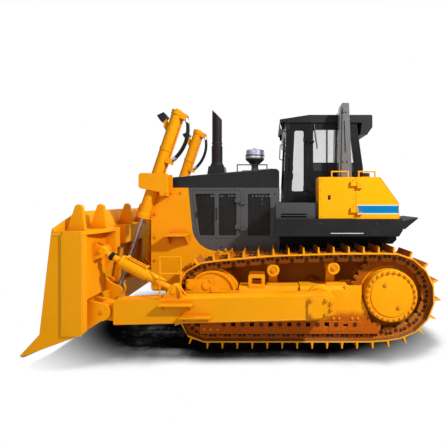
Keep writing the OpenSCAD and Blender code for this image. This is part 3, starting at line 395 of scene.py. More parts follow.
rim = radius * given["Flange"]
crown = heads.node("GeometryNodeTransform", None, {
    "Geometry": cone(given["Sides"], radius, radius * 0.8, height * 0.2),
    "Translation": heads.node("ShaderNodeCombineXYZ", None, {"Z": height * 0.8})})
head = [cone(14, rim, rim, height * 0.25), cone(given["Sides"], radius, radius, height * 0.8), crown]
facing = heads.node("GeometryNodeInputNamedAttribute", {"data_type": "FLOAT_VECTOR"}, {"Name": "facing"})
upright = heads.node("FunctionNodeAlignRotationToVector", {"axis": "Z"}, {"Vector": facing})
tightened = heads.node("FunctionNodeAxisAngleToRotation", None, {
    "Axis": (0, 0, 1), "Angle": heads.node("GeometryNodeInputIndex") * 2.4})
close_rule(heads, given, heads.node("GeometryNodeInstanceOnPoints", None, {
    "Points": given["Geometry"],
    "Instance": heads.node("GeometryNodeJoinGeometry", None, {"Geometry": head}),
    "Rotation": heads.node("FunctionNodeRotateRotation", {"rotation_space": "LOCAL"}, {
        "Rotation": upright, "Rotate By": tightened})}))


def bolts(name, body, slot, material, spots, width, height, sides=6, flange=1.3):
    """Bolt heads, nuts, pin ends or tread buttons: spots are pairs of a point and the way it faces."""
    base = bpy.data.meshes.new(name)
    base.from_pydata([tuple(point) for point, facing in spots], [], [])
    facings = base.attributes.new("facing", "FLOAT_VECTOR", "POINT")
    for item, (point, facing) in zip(facings.data, spots):
        item.vector = facing
    return grown(name, heads.tree, base, body, slot, Width=width, Height=height, Flange=flange, Sides=sides,
                 Material=material)


def metal(name, colour, rough, dirt=(0.1, 0.06, 0.03), dirty=0.5, dark_below=-1.0):
    """Bare metal: grease in patches, a fine grain, and dark paint below a height."""
    made = finish(name)
    place = made.place()
    grain = made.noise(place, 210.0, 2.0)
    spoiled = made.ramp(made.noise(place, 14.0, 5.0), 0.42, 0.72)
    painted = made.axis(place, "Z") < dark_below
    bare = made.mixed(spoiled * dirty, colour, dirt)
    return made.skin({
        "Base Color": made.mixed(painted, bare, (0.05, 0.025, 0.018)),
        "Metallic": (1 - 0.8 * dirty * spoiled) * (1 - painted),
        "Roughness": rough + 0.25 * spoiled + 0.1 * grain,
        "Normal": made.bump(grain, 0.1, 0.001)})


oiled_steel = metal("oiled_steel", (0.05, 0.03, 0.022), 0.45)
oiled_brown = paint("oiled_brown_paint", (0.06, 0.017, 0.004), (0.2, 0.08, 0.02), 0.5, rounding=0.004,
                    shine=0.1)
for side, sign in sides:
    link_nuts, pin_ends, shoe_bolts = [], [], []
    for i in range(shoe_count):
        for way in (1, -1):
            y, facing = sign * (half_gauge + way * link_half_width), (0, sign * way, 0)
            for share in (0.34, 0.62):
                spot, out = on_link(i, share, 0.03)
                link_nuts.append(((spot.x, y, spot.y), facing))
            pin_ends.append(((pins[i].x, y, pins[i].y), facing))
        for share in (0.5, 0.82):
            spot, out = on_link(i, share, plate_out)
            for offset in (-0.13, 0.13):
                shoe_bolts.append(((spot.x, sign * (half_gauge + offset), spot.y), (out.x, 0, out.y)))
    bolts("link_nuts_" + side, "chassis", "track_paint", oiled_brown, link_nuts, 0.05, 0.012, flange=1.15)
    bolts("pin_ends_" + side, "chassis", "track_paint", oiled_brown, pin_ends, 0.066, 0.006, 16, 1.0)
    bolts("shoe_bolts_" + side, "chassis", "track_paint", oiled_steel, shoe_bolts, 0.042, 0.02)


# Track frames, rollers and sprockets: welded box frames with bolted roller guards, painted red-brown low down
# as shade, cast wheels on pressed axles, and final drives closed by a ring of cap screws round a turned
# cover.
def painted_low_shade(made, place):
    # Painted shade: low parts of the frames, rollers and guard plates turn red-brown, with a ragged edge.
    uneven = made.axis(place, "Z") + 0.1 * made.noise(place, 6.0, 4.0)
    return [(made.ramp(uneven, 0.72, 0.56, "SMOOTHSTEP"), (0.5, 0.1, 0.003))]


hub_plate_r = 0.485


def painted_rim_shade(made, place):
    # Painted shade: the toothed rim beyond the hub plate is painted dark brown.
    from_axle = made.vector("SUBTRACT", place, (sprocket[0], 0, sprocket[1]))
    reach = made.vector("LENGTH", made.vector("MULTIPLY", from_axle, (1, 0, 1)))
    return [(reach > hub_plate_r, (0.34, 0.09, 0.005))]


low_yellow = machine_yellow("track_frame_paint", painted_low_shade)
dress_pair(low_yellow, "track_frame", "rollers")
dress_pair(machine_yellow("sprocket_paint", painted_rim_shade), "sprocket")
# Painted shade: the bolt paint is a darker, redder copy of the yellow, so the heads look shaded.
amber = paint("bolt_paint", (0.75, 0.26, 0.004), (0.9, 0.42, 0.02), 0.45, 0.03, dusty=0.08,
              rounding=0.004, shine=0.1)


def amber_bolts(name, body, spots, width, height, sides=6, flange=1.3):
    return bolts(name, body, "yellow_paint", amber, spots, width, height, sides, flange)


def shaped(name, shape, body, material):
    """Turns a worked shape into a piece that is fixed on a body."""
    mesh = bpy.data.meshes.new(name)
    shape.to_mesh(mesh)
    shape.free()
    mesh.materials.append(material)
    return fixed(placed(name, mesh), body)


def pressed(name, body, material, blocks, round_by):
    """Small plates and blocks with rounded edges, each given by two opposite corners."""
    shape = bmesh.new()
    for low, high in blocks:
        low, high = Vector(low), Vector(high)
        bmesh.ops.create_cube(shape, size=1.0, matrix=Matrix.Translation((low + high) / 2) @ Matrix.Diagonal(
            [abs(d) for d in high - low] + [1]))
    bmesh.ops.bevel(shape, geom=shape.edges[:], offset=round_by, segments=2, affect="EDGES", profile=0.5)
    bmesh.ops.recalc_face_normals(shape, faces=shape.faces[:])
    return shaped(name, shape, body, material)


hub_turns = [2 * math.pi * i / 26 for i in range(26)]
roller_x = [-0.36 + 2.3 * i / 7 for i in range(8)]
guard_face, guard_plate_face = 1.5, 1.511
for side, sign in sides:
    out = (0, sign, 0)
    amber_bolts("hub_screws_" + side, "chassis", [
        ((sprocket[0] + 0.418 * math.cos(t), sign * 1.568, sprocket[1] + 0.418 * math.sin(t)), out)
        for t in hub_turns], 0.044, 0.026, flange=1.25)
    amber_bolts("hub_plugs_" + side, "chassis", [
        ((2.68, sign * 1.58, 0.71), out), ((2.45, sign * 1.58, 1.1), out)], 0.05, 0.018, flange=1.5)
    amber_bolts("roller_screws_" + side, "chassis", [
        ((x + d, sign * 1.505, 0.5), out) for x in roller_x for d in (-0.05, 0.05)], 0.038, 0.022)
    bolts("axle_ends_" + side, "chassis", "yellow_paint", oiled_brown, [
        ((x, sign * guard_plate_face, 0.3955), out) for x in roller_x], 0.07, 0.008, sides=18, flange=1.0)
    pressed("guard_plates_" + side, "chassis", low_yellow, [
        ((x - 0.125, sign * guard_face, 0.275), (x + 0.125, sign * guard_plate_face, 0.452))
        for x in roller_x], 0.003)
    amber_bolts("carrier_caps_" + side, "chassis", [
        ((x, sign * 1.461, z), out) for x, z in carriers], 0.06, 0.016, flange=1.6)
    amber_bolts("guard_screws_" + side, "chassis", [
        ((x, sign * 1.523, 0.318), out) for x in (-0.70, -0.5825, -0.465)] + [
        ((x, sign * 1.535, z), out) for x in (-0.985, -0.60) for z in (0.925, 1.155)], 0.04, 0.02)

# Frame, rear case and platform: a welded belly box and a cast transmission case in yellow, painted a darker
# red-brown as shade, under a deck painted near black as shade. The case's rear cover is held by screws round
# its rim.
# Painted shade: the frame and rear case take a darker, red-brown copy of the yellow paint.
dress(paint("shaded_frame_paint", (0.6, 0.17, 0.004), (0.8, 0.35, 0.02), 0.5, dusty=0.08, shine=0.08),
      "main_frame", "rear_case")
# Painted shade: the deck is painted near black.
dress(paint("platform_paint", (0.003, 0.003, 0.003), (0.03, 0.03, 0.03), 0.5, dusty=0.01, shine=0.05),
      "platform")
dark_screw = paint("dark_screw_paint", (0.018, 0.018, 0.019), (0.09, 0.09, 0.09), 0.4, 0.03, dusty=0.05,
                   rounding=0.004, shine=0.12)
cover_face = 2.95
cover_spots = [(y, z) for y in (-0.39, 0.39) for z in (0.8, 0.92, 1.04, 1.16, 1.28)]
cover_spots += [(y, 1.46) for y in (-0.24, -0.08, 0.08, 0.24)]
bolts("rear_cover_screws", "chassis", "dark_grey_paint", dark_screw,
      [((cover_face, y, z), (1, 0, 0)) for y, z in cover_spots], 0.036, 0.02)

# Radiator guard and grille: thick flame-cut plates joined by weld beads, with a step on each side, and
# a cast grille with a wire screen behind its slots.
dress(yellow, "radiator_guard")
dress(paint("charcoal_paint", (0.03, 0.031, 0.032), (0.1, 0.1, 0.1), 0.45, dusty=0.04, shine=0.12),
      "radiator_grille")

pipes, given = rule("bent_pipes", Radius="Float", Bend="Float", Sides="Int")
bent = pipes.node("GeometryNodeFilletCurve", {"mode": "POLY"}, {
    "Curve": pipes.node("GeometryNodeMeshToCurve", None, {"Mesh": given["Geometry"]}),
    "Count": 5, "Radius": given["Bend"], "Limit Radius": True})
ring = pipes.node("GeometryNodeCurvePrimitiveCircle", None, {
    "Resolution": given["Sides"], "Radius": given["Radius"]})
close_rule(pipes, given, pipes.node("GeometryNodeCurveToMesh", None, {
    "Curve": bent, "Fill Caps": True, "Profile Curve": ring}))


def tubes(name, body, slot, material, paths, radius, bend=0.0, sides=10, closed=False):
    """Bent tubes, wires, cords of rubber or weld beads along paths of points."""
    points, edges = [], []
    for path in paths:
        start = len(points)
        points += [tuple(p) for p in path]
        edges += [(i, i + 1) for i in range(start, len(points) - 1)]
        if closed:
            edges.append((len(points) - 1, start))
    base = bpy.data.meshes.new(name)
    base.from_pydata(points, edges, [])
    return grown(name, pipes.tree, base, body, slot, Radius=radius, Bend=bend, Sides=sides, Material=material)


def span(outline, along, at):
    """Where a straight line across a convex outline enters and leaves it."""
    hits = []
    for first, last in zip(outline, outline[1:] + outline[:1]):
        if (first[along] - at) * (last[along] - at) < 0:
            share = (at - first[along]) / (last[along] - first[along])
            hits.append(first[1 - along] + share * (last[1 - along] - first[1 - along]))
    return (min(hits), max(hits)) if hits else None


def screen(outline, pitch, wire, place):
    """The wires of a woven screen inside an outline; place turns a point and its height into a place."""
    paths = []
    for along in (0, 1):
        low, high = min(p[along] for p in outline), max(p[along] for p in outline)
        for i in range(1, int((high - low) / pitch)):
            at = low + i * pitch
            ends = span(outline, along, at)
            if ends:
                pair = [(at, e) if along == 0 else (e, at) for e in ends]
                paths.append([place(p[0], p[1], wire * (1 if along else -1)) for p in pair])
    return paths


screen_wire = metal("screen_wire", (0.05, 0.05, 0.05), 0.5, dirt=(0.02, 0.018, 0.015))
tubes("grille_screen", "chassis", "dark_grey_paint", screen_wire,
      screen([(-0.69, 0.92), (0.69, 0.92), (0.69, 2.7), (-0.69, 2.7)], 0.034, 0.0,
             lambda y, z, lift: (-1.8, y, z)), 0.004, sides=4)

weld = finish("painted_weld_bead")
place = weld.place()
scales = weld.node("ShaderNodeTexWave", {"wave_type": "RINGS"}, {
    "Vector": place, "Scale": 55.0, "Distortion": 2.0})
soot = weld.noise(place, 20.0, 3.0)
bead = weld.skin({
    "Base Color": weld.mixed(soot * 0.5, (0.95, 0.4, 0.005), (0.5, 0.18, 0.006)),
    "Roughness": 0.4 + 0.2 * soot,
    "Normal": weld.bump(scales, 0.7, 0.003)})


def treads(x0, x1, y0, y1, z, pitch=0.045):
    """Places of tread buttons on a step, in staggered rows, facing up."""
    y0, y1 = sorted((y0, y1))
    rows = int((y1 - y0) / pitch)
    row_length = int((x1 - x0) / pitch)
    step = (x1 - x0) / (row_length + 0.5)
    return [((x0 + (i + 0.5 + 0.5 * (j % 2)) * step, y0 + (j + 0.5) * (y1 - y0) / rows, z), (0, 0, 1))
            for j in range(rows) for i in range(row_length)]


plate_face, bead_y = 0.8, 0.802
plate_spots = [(-1.8, z) for z in (2.72, 2.3, 1.85, 1.4, 0.95)]
plate_spots += [(-1.3, 2.72), (-1.25, 0.9), (-0.8, 0.9), (-0.42, 1.6)]
plate_seams = (((-1.54, 1.888), (-1.13, 1.888)), ((-1.84, 0.832), (-0.72, 0.832)),
               ((-1.61, 2.655), (-1.61, 2.80)))
for side, sign in sides:
    amber_bolts("guard_step_treads_" + side, "chassis",
                treads(-1.53, -1.14, sign * 0.81, sign * 1.07, 1.93), 0.018, 0.006, 8, 1.0)
    amber_bolts("guard_bolts_" + side, "chassis",
                [((x, sign * plate_face, z), (0, sign, 0)) for x, z in plate_spots], 0.046, 0.022)
    tubes("guard_beads_" + side, "chassis", "yellow_paint", bead,
          [[(x, sign * bead_y, z) for x, z in seam] for seam in plate_seams], 0.009, sides=8)

# Hood, engine sides and doors: folded sheet, the doors framing wire screens in front of the engine,
# with pull handles and rows of button-head screws.
dress(paint("hood_paint", (0.0115, 0.013, 0.013), (0.06, 0.06, 0.06), 0.35, 0.03, dusty=0.025, shine=0.09),
      "hood")
slate = paint("engine_side_paint", (0.075, 0.076, 0.077), (0.2, 0.2, 0.2), 0.45, 0.03, dusty=0.04, shine=0.14)
dress(slate, "engine_sides", "engine_door_left", "engine_door_right")
dress(metal("cast_engine_iron", (0.12, 0.12, 0.115), 0.6, dirty=0.7), "engine_block")
panel_face, screen_face = 0.78, 0.758
screen_foot, screen_head = 1.87, 2.726


def engine_screen(name, body, sign, openings):
    """Screens in openings, each given by where its foot and its head start, and where both end."""
    outlines = [[(foot, screen_foot), (end, screen_foot), (end, screen_head), (head, screen_head)]
                for foot, head, end in openings]
    wires = [path for outline in outlines for path in screen(
        outline, 0.015, 0.003, lambda x, z, lift: (x, sign * (screen_face + lift), z))]
    return tubes(name, body, "dark_grey_paint", screen_wire, wires, 0.0038, sides=4)


def on_side(sign, paths):
    """Paths given for the positive side, put on a side."""
    return [[(x, sign * y, z) for x, y, z in path] for path in paths]


pull_path = ((-0.6, 0.78, 2.2), (-0.6, 0.83, 2.2), (-0.6, 0.83, 2.42), (-0.6, 0.78, 2.42))
hood_spots = [(-1.45 + 0.29 * i, 2.86) for i in range(8)] + [(-0.886, 2.934)]
skirt_spots = [(-0.5 + 0.25 * i, 1.66) for i in range(5)] + [(0.55, 1.7 + 0.25 * i) for i in range(5)]
for side, sign in sides:
    door = "engine_door_" + side + "_body"
    engine_screen("door_screens_" + side, door, sign, [(-0.945, -1.035, -0.63), (-0.57, -0.57, -0.2)])
    engine_screen("side_screen_" + side, "chassis", sign, [(0.004, 0.004, 0.467)])
    tubes("door_pull_" + side, door, "black_paint", dark_screw, on_side(sign, [pull_path]), 0.011, 0.025, 12)
    pressed("door_locks_" + side, door, dark_screw, [
        ((-1.0, sign * 0.782, 2.25), (-0.955, sign * 0.8, 2.35)),
        ((-0.99, sign * 0.798, 2.27), (-0.965, sign * 0.812, 2.33))], 0.005)
    for name, spots in (("hood_screws_", hood_spots), ("skirt_screws_", skirt_spots)):
        bolts(name + side, "chassis", "dark_grey_paint", dark_screw,
              [((x, sign * panel_face, z), (0, sign, 0)) for x, z in spots], 0.026, 0.012, 12)

# Exhaust stack and precleaner: rolled steel pipe browned by heat, held by a clamp band, and a spun
# aluminium bowl on a dark neck with a ring clip.
dress(paint("heat_browned_steel", (0.012, 0.007, 0.009), (0.06, 0.035, 0.028), 0.5, dusty=0.05, shine=0.12),
      "exhaust_stack")
spun = metal("spun_aluminium", (0.34, 0.36, 0.42), 0.22, dirt=(0.2, 0.2, 0.21), dirty=0.35, dark_below=3.45)
dress(spun, "precleaner")
up = (0, 0, 1)


def turned(name, body, material, profiles, place, facing, steps=40):
    """Turned pieces: each profile is a list of radius and height along the way it faces."""
    shape = bmesh.new()
    turn = Vector(facing).to_track_quat("Z", "Y").to_matrix().to_4x4()
    circle = [(math.cos(2 * math.pi * i / steps), math.sin(2 * math.pi * i / steps)) for i in range(steps)]
    for profile in profiles:
        rings = [[shape.verts.new((r * c, r * s, h)) for c, s in circle] for r, h in profile]
        for low, high in zip(rings, rings[1:]):
            for i in range(steps):
                shape.faces.new((low[i], low[i - 1], high[i - 1], high[i]))
    bmesh.ops.remove_doubles(shape, verts=shape.verts[:], dist=1e-6)
    bmesh.ops.dissolve_degenerate(shape, dist=1e-6, edges=shape.edges[:])
    bmesh.ops.recalc_face_normals(shape, faces=shape.faces[:])
    bmesh.ops.transform(shape, matrix=Matrix.Translation(place) @ turn, verts=shape.verts[:])
    return shaped(name, shape, body, material)


def band(radius, low, high, thick):
    return [(radius, low), (radius + thick * 0.7, low), (radius + thick, low + thick * 0.4),
            (radius + thick, high - thick * 0.4), (radius + thick * 0.7, high), (radius, high), (radius, low)]


stack_x, stack_y = -0.64, -0.45
turned("stack_clamp", "chassis", dark_screw, [
    band(0.1, 0.47, 0.5, 0.008), band(0.112, 0.05, 0.075, 0.01), band(0.1, 0.86, 0.872, 0.004)],
    (stack_x, stack_y, 3.26), up)
bolts("stack_flange_bolts", "chassis", "stack_steel", dark_screw, [
    ((stack_x + 0.126 * math.cos(t), stack_y + 0.126 * math.sin(t), 3.3), up)
    for t in (0.8, 2.37, 3.94, 5.5)], 0.022, 0.014)
turned("precleaner_bands", "chassis", dark_screw, [
    band(0.068, 0.06, 0.115, 0.006), band(0.2, 0.29, 0.315, 0.005)], (0.13, -0.3, 3.2), up)
turned("precleaner_nut", "chassis", spun, [[
    (0, 0), (0.05, 0), (0.05, 0.012), (0.03, 0.02), (0.03, 0.04), (0.02, 0.05), (0, 0.05)]],
    (0.13, -0.3, 3.632), up)

# Cab: black-painted walls of folded steel with bright safety glass in rubber seals, wipers, a grab
# handle at the front post and round lamps under the roof's edges.
black = paint("black_cab_paint", (0.0055, 0.0055, 0.006), (0.04, 0.04, 0.04), 0.38, 0.03, dusty=0.02,
              shine=0.1)
dress(black, "cab_floor", "cab_front", "cab_rear")
dress_pair(black, "cab_side", "cab_door")
dress(paint("roof_paint", (0.011, 0.011, 0.012), (0.07, 0.07, 0.07), 0.5, 0.04, dusty=0.04, shine=0.12),
      "cab_roof")
pane = finish("window_pane")
smear = pane.noise(pane.place(), 6.0, 4.0)
dress(pane.surface(pane.node("ShaderNodeMixShader", None, {
    0: 0.55 + 0.14 * smear,
    1: pane.node("ShaderNodeBsdfTransparent", None, {"Color": (0.93, 0.94, 0.945, 1)}),
    2: pane.node("ShaderNodeBsdfGlossy", None, {"Color": (0.9, 0.9, 0.9, 1), "Roughness": 0.05})})),
    "cab_glass", "door_glass_left", "door_glass_right")


def soft_black(name, colour, scale, depth):
    """Rubber or moulded plastic: a matt black skin with a fine leather grain and grey scuffs."""
    made = finish(name)
    place = made.place()
    cells = made.node("ShaderNodeTexVoronoi", None, {"Vector": place, "Scale": scale}, out="Distance")
    worn = made.ramp(made.noise(place, 9.0, 5.0), 0.5, 0.8)
    return made.skin({
        "Base Color": made.mixed(worn * 0.4, colour, [c + 0.02 for c in colour]),
        "Roughness": 0.55 + 0.25 * worn,
        "Specular IOR Level": 0.12,
        "Normal": made.bump(cells, 0.35, depth)})


rubber = soft_black("seal_rubber", (0.007, 0.007, 0.007), 260.0, 0.0006)
moulded = soft_black("moulded_plastic", (0.028, 0.028, 0.03), 190.0, 0.0008)
dress(moulded, "console")


def on_front(forward, y, z):
    """A place near the leaning windscreen."""
    return 0.7 + (z - 2.53) * 70 / 1550 - forward, y, z


def on_rear(back, y, z):
    """A place near the leaning rear window, past the inside of its wall."""
    return 2.2 - (z - 3.2) * 0.142 + back, y, z


tubes("front_seal", "chassis", "black_paint", rubber, [[on_front(-0.024, y, z) for y, z in (
    (-0.722, 2.838), (0.722, 2.838), (0.722, 3.942), (-0.722, 3.942))]],
    0.012, bend=0.055, sides=8, closed=True)
tubes("rear_seal", "chassis", "black_paint", rubber, [[on_rear(0.038, y, z) for y, z in (
    (-0.682, 3.21), (0.682, 3.21), (0.682, 3.942), (-0.682, 3.942))]],
    0.012, bend=0.055, sides=8, closed=True)
rear_top = on_rear(0, 0.1, 3.97)[0]
tubes("wipers", "chassis", "black_paint", dark_screw, [
    [on_front(0.012, -0.1, 2.8), (on_front(0.02, -0.1, 2.8)[0], -0.1, 2.82), on_front(0.01, -0.3, 3.35)],
    [on_front(-0.012, -0.22, 3.0), on_front(-0.012, -0.42, 3.75)],
    [(rear_top + 0.075, 0.1, 3.99), (rear_top + 0.085, 0.1, 3.97), on_rear(0.07, 0.24, 3.55)],
    [on_rear(0.055, 0.14, 3.8), on_rear(0.055, 0.34, 3.3)]], 0.008, bend=0.01, sides=8)
grey = paint("grey_frame_paint", (0.13, 0.13, 0.132), (0.24, 0.24, 0.24), 0.45, 0.06, dusty=0.06)
grab_path = ((-0.01, 3.92), (0.065, 3.92), (0.065, 3.55), (-0.01, 3.55))
wiper_paths = (((1.3, 0.852, 4.06), (1.31, 0.87, 4.04), (1.35, 0.872, 3.72)),
               ((1.34, 0.868, 3.86), (1.372, 0.868, 3.58)))
door_pane = ((0.862, 2.74), (1.116, 2.74), (1.116, 3.942), (0.92, 3.942))
for side, sign in sides:
    door = "cab_door_" + side + "_body"
    tubes("cab_grab_" + side, "chassis", "rops_grey_paint", grey,
          [[on_front(out, sign * 0.8, z) for out, z in grab_path]], 0.012, bend=0.04, sides=12)
    tubes("side_wiper_" + side, "chassis", "black_paint", grey, on_side(sign, wiper_paths), 0.008, 0.01, 8)
    tubes("door_seal_" + side, door, "black_paint", rubber,
          [[(x, sign * 0.832, z) for x, z in door_pane]], 0.011, bend=0.045, sides=8, closed=True)
    pressed("door_catch_" + side, door, dark_screw,
            [((0.872, sign * 0.848, 2.98), (0.9, sign * 0.872, 3.1))], 0.006)

lens = finish("lamp_lens")
flutes = lens.node("ShaderNodeTexWave", None, {"Vector": lens.place(), "Scale": 40.0})
lens_glass = lens.skin({
    "Base Color": lens.mixed(flutes, (0.6, 0.62, 0.64), (0.78, 0.8, 0.82)),
    "Roughness": 0.08 + 0.1 * flutes,
    "Coat Weight": 0.5 + 0.3 * flutes,
    "Normal": lens.bump(flutes, 0.4, 0.002)})
for end, x, z, facing in (("front", 0.7, 4.05, (-1, 0, -0.25)), ("rear", 2.385, 3.95, (1, 0, -0.45))):
    for side, sign in sides:
        place = (x, sign * 0.66, z)
        turned("roof_lamp_%s_%s" % (end, side), "chassis", dark_screw, [[
            (0, -0.045), (0.03, -0.045), (0.058, -0.02), (0.062, 0.02), (0.066, 0.024), (0.066, 0.03),
            (0.056, 0.032), (0.054, 0.02), (0, 0.02)]], place, facing)
        turned("roof_lens_%s_%s" % (end, side), "chassis", lens_glass, [[
            (0, 0.022), (0.053, 0.022), (0.05, 0.028), (0.03, 0.034), (0, 0.036)]], place, facing)

# Operator's place: a sprung seat with foam cushions in woven cloth, sewn down in channels, side levers with
# round knobs, pedals and a control column, and dark trim panels at the foot of the side windows.
cloth = finish("woven_seat_cloth")
place = cloth.place()
warp, weft = (cloth.node("ShaderNodeTexWave", {"bands_direction": way}, {"Vector": place, "Scale": 130.0})
              for way in "XY")
worn = cloth.noise(place, 5.0, 4.0) * (0.4 + 0.6 * warp)
woven = cloth.skin({
    "Base Color": cloth.mixed(worn, (0.022, 0.022, 0.025), (0.075, 0.075, 0.08)),
    "Roughness": 0.82 + 0.1 * weft,
    "Sheen Weight": 0.3,
    "Normal": cloth.bump(warp * weft, 0.4, 0.001)})
most_swell = 0.018
seam_depth = seam_width = 0.012


def cushion(name, corners, across, channels):
    """A foam cushion from a low corner and two edges, swollen by air pressure and sewn down in channels."""
    start, end, top = (Vector(corner) for corner in corners)
    along, rise = end - start, top - start
    shape = bmesh.new()
    bmesh.ops.create_cube(shape, size=1.0, matrix=Matrix.Translation((0.5, 0, 0.5)))
    bmesh.ops.bevel(shape, geom=shape.edges[:], offset=0.12, segments=3, affect="EDGES", profile=0.6)
    for vert in shape.verts:
        u, v, w = vert.co
        vert.co = start + u * along + w * rise + Vector((0, v * across, 0))
    piece = shaped(name, shape, "chassis", woven)
    even = piece.modifiers.new("even", "REMESH")
    even.mode = "VOXEL"
    even.voxel_size = 0.012
    piece.data = as_mesh(piece)
    piece.modifiers.remove(even)
    rest = [vert.co.copy() for vert in piece.data.vertices]
    air = piece.modifiers.new("air", "CLOTH")
    air.settings.use_pressure = True
    air.settings.uniform_pressure_force = 4.0
    air.settings.effector_weights.gravity = 0.0
    for step in range(1, 16):
        scene.frame_set(step)
    piece.data = as_mesh(piece)
    piece.modifiers.remove(air)
    scene.frame_set(1)
    for vert, old in zip(piece.data.vertices, rest):
        moved = vert.co - old
        vert.co = old + moved * min(1.0, most_swell / max(moved.length, 1e-6))
        u = (vert.co - start).dot(along) / along.length
        sewn = sum(math.exp(-((u - c) / seam_width) ** 2) for c in channels)
        if (vert.co - start).dot(rise) > 0.5 * rise.length_squared:
            vert.co -= rise.normalized() * seam_depth * min(1.0, sewn)
    for face in piece.data.polygons:
        face.use_smooth = True
    piece.data.materials.clear()
    piece.data.materials.append(woven)
    return piece


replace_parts(cushion("seat_cushion", ((1.385, 0, 2.845), (1.86, 0, 2.845), (1.385, 0, 2.955)), 0.5,
                    (0.12, 0.24, 0.36)), "seat")
cushion("seat_back", ((1.935, 0, 2.95), (2.005, 0, 3.6), (1.845, 0, 2.96)), 0.49, (0.15, 0.3, 0.45))
cushion("head_rest", ((2.005, 0, 3.64), (2.03, 0, 3.8), (1.925, 0, 3.65)), 0.28, ())
pressed("seat_base", "chassis", moulded, [
    ((1.42, -0.17, 2.53), (1.88, 0.17, 2.6)), ((1.46, -0.14, 2.6), (1.84, 0.14, 2.77)),
    ((1.38, -0.25, 2.77), (1.9, 0.25, 2.845)), ((1.955, -0.04, 3.55), (1.975, 0.04, 3.68))], 0.012)
long_lever, short_lever, pedal_arm, column_lever = (
    ((1.46, 0.4, 3.02), (1.44, 0.4, 3.1), (1.42, 0.39, 3.24)), ((1.56, 0.42, 3.04), (1.55, 0.42, 3.18)),
    ((0.96, 0.33, 2.53), (0.93, 0.33, 2.7), (0.95, 0.33, 2.78)),
    ((1.0, 0.2, 3.1), (1.03, 0.2, 3.3), (1.0, 0.2, 3.46)))
for side, sign in sides:
    tubes("levers_" + side, "chassis", "console_plastic", dark_screw,
          on_side(sign, (long_lever, short_lever, pedal_arm, column_lever)), 0.012, bend=0.03)
    for x, y, z in (long_lever[-1], short_lever[-1], column_lever[-1]):
        turned("knob_%s_%d" % (side, round(x * 100)), "chassis", moulded, [[
            (0, -0.03), (0.018, -0.03), (0.022, 0.0), (0.026, 0.03), (0.02, 0.05), (0, 0.056)]],
            (x, sign * y, z), up, steps=20)
    pressed("pedal_" + side, "chassis", rubber, [
        ((0.9, sign * 0.27, 2.76), (1.0, sign * 0.39, 2.785))], 0.008)
    pressed("trim_panel_" + side, "chassis", moulded, [
        ((1.28, sign * 0.826, 3.14), (2.115, sign * 0.836, 3.31))], 0.003)
pressed("dash_panel", "chassis", moulded, [
    ((0.84, -0.22, 3.345), (0.87, 0.22, 3.42)), ((0.85, -0.2, 3.34), (0.99, 0.2, 3.36))], 0.008)
pressed("control_column", "chassis", moulded, [
    ((0.94, -0.34, 2.53), (1.04, -0.2, 3.2)), ((0.93, -0.36, 3.2), (1.02, -0.18, 3.3)),
    ((0.965, -0.36, 3.4), (1.02, -0.34, 3.52)), ((0.985, -0.352, 3.29), (1.0, -0.346, 3.41))], 0.006)

# Roll-over frame: two box posts and a beam in grey enamel, each post with a cable pipe on its rib and
# cap screws at its foot.
dress(grey, "rops_post_left", "rops_post_right", "rops_beam")
grey_screw = paint("grey_screw_paint", (0.13, 0.13, 0.132), (0.3, 0.3, 0.3), 0.4, 0.1, rounding=0.004)
post_spots = ((1.8, 3.12), (1.9, 3.12), (1.81, 3.3), (1.89, 3.3), (1.82, 4.22), (1.87, 4.22))
cable_path = ((1.842, 1.145, 4.06), (1.842, 1.162, 4.04), (1.86, 1.162, 3.5), (1.86, 1.145, 3.46))
for side, sign in sides:
    tubes("cable_pipe_" + side, "chassis", "rops_grey_paint", grey_screw,
          on_side(sign, [cable_path]), 0.009, bend=0.012)
    bolts("post_screws_" + side, "chassis", "rops_grey_paint", grey_screw,
          [((x, sign * 1.15, z), (0, sign, 0)) for x, z in post_spots], 0.034, 0.018)


# Fenders: folded plate, painted near black as shade below a height, with a lighter step block, a bright
# nosing strip and treads on top of the step.
step_foot, step_rear, band_foot = 2.252, 1.3, 1.955


def step_block_and_low_shade(made, place):
    height = made.axis(place, "Z")
    step = (height > step_foot) * (made.axis(place, "X") < step_rear)
    # Painted shade: the fender below band_foot is painted near black; the step block is a lighter grey paint.
    return [(step, (0.062, 0.062, 0.063)), (height < band_foot, (0.003, 0.003, 0.003))]


dress_pair(paint("fender_paint", (0.012, 0.012, 0.0125), (0.05, 0.05, 0.05), 0.45, dusty=0.03,
                 marks=step_block_and_low_shade, shine=0.1), "fender")
nosing = metal("rolled_aluminium", (0.5, 0.5, 0.51), 0.3, dirty=0.3)
for side, sign in sides:
    pressed("nosing_" + side, "chassis", nosing,
            [((1.5, sign * 1.578, 1.992), (2.07, sign * 1.59, 2.008))], 0.004)
    bolts("step_treads_" + side, "chassis", "dark_grey_paint", dark_screw,
          treads(0.6, 1.25, sign * 0.96, sign * 1.46, 2.53, 0.05), 0.02, 0.005, 8, 1.0)
    bolts("fender_screws_" + side, "chassis", "dark_grey_paint", dark_screw,
          [((x, sign * 1.58, 2.16), (0, sign, 0)) for x in (0.66, 1.34, 2.3)], 0.03, 0.014, 12)


# Tanks: welded sheet boxes with a broad blue band between pale lines round the rear half, a hinged tool
# door on the left with a flush catch, and black ribbed filler caps.
tank_middle, tank_inside = 1.975, 1.15
bands = ((2.335, 2.495, (0.45, 0.62, 0.72)), (2.352, 2.478, (0.001, 0.168, 0.38)))


def tank_band(made, place):
    x, y, z = (made.axis(place, name) for name in "XYZ")
    rear_half = (x > tank_middle) * (abs(y) > tank_inside)
    return [((z > low) * (z < high) * rear_half, tone) for low, high, tone in bands]


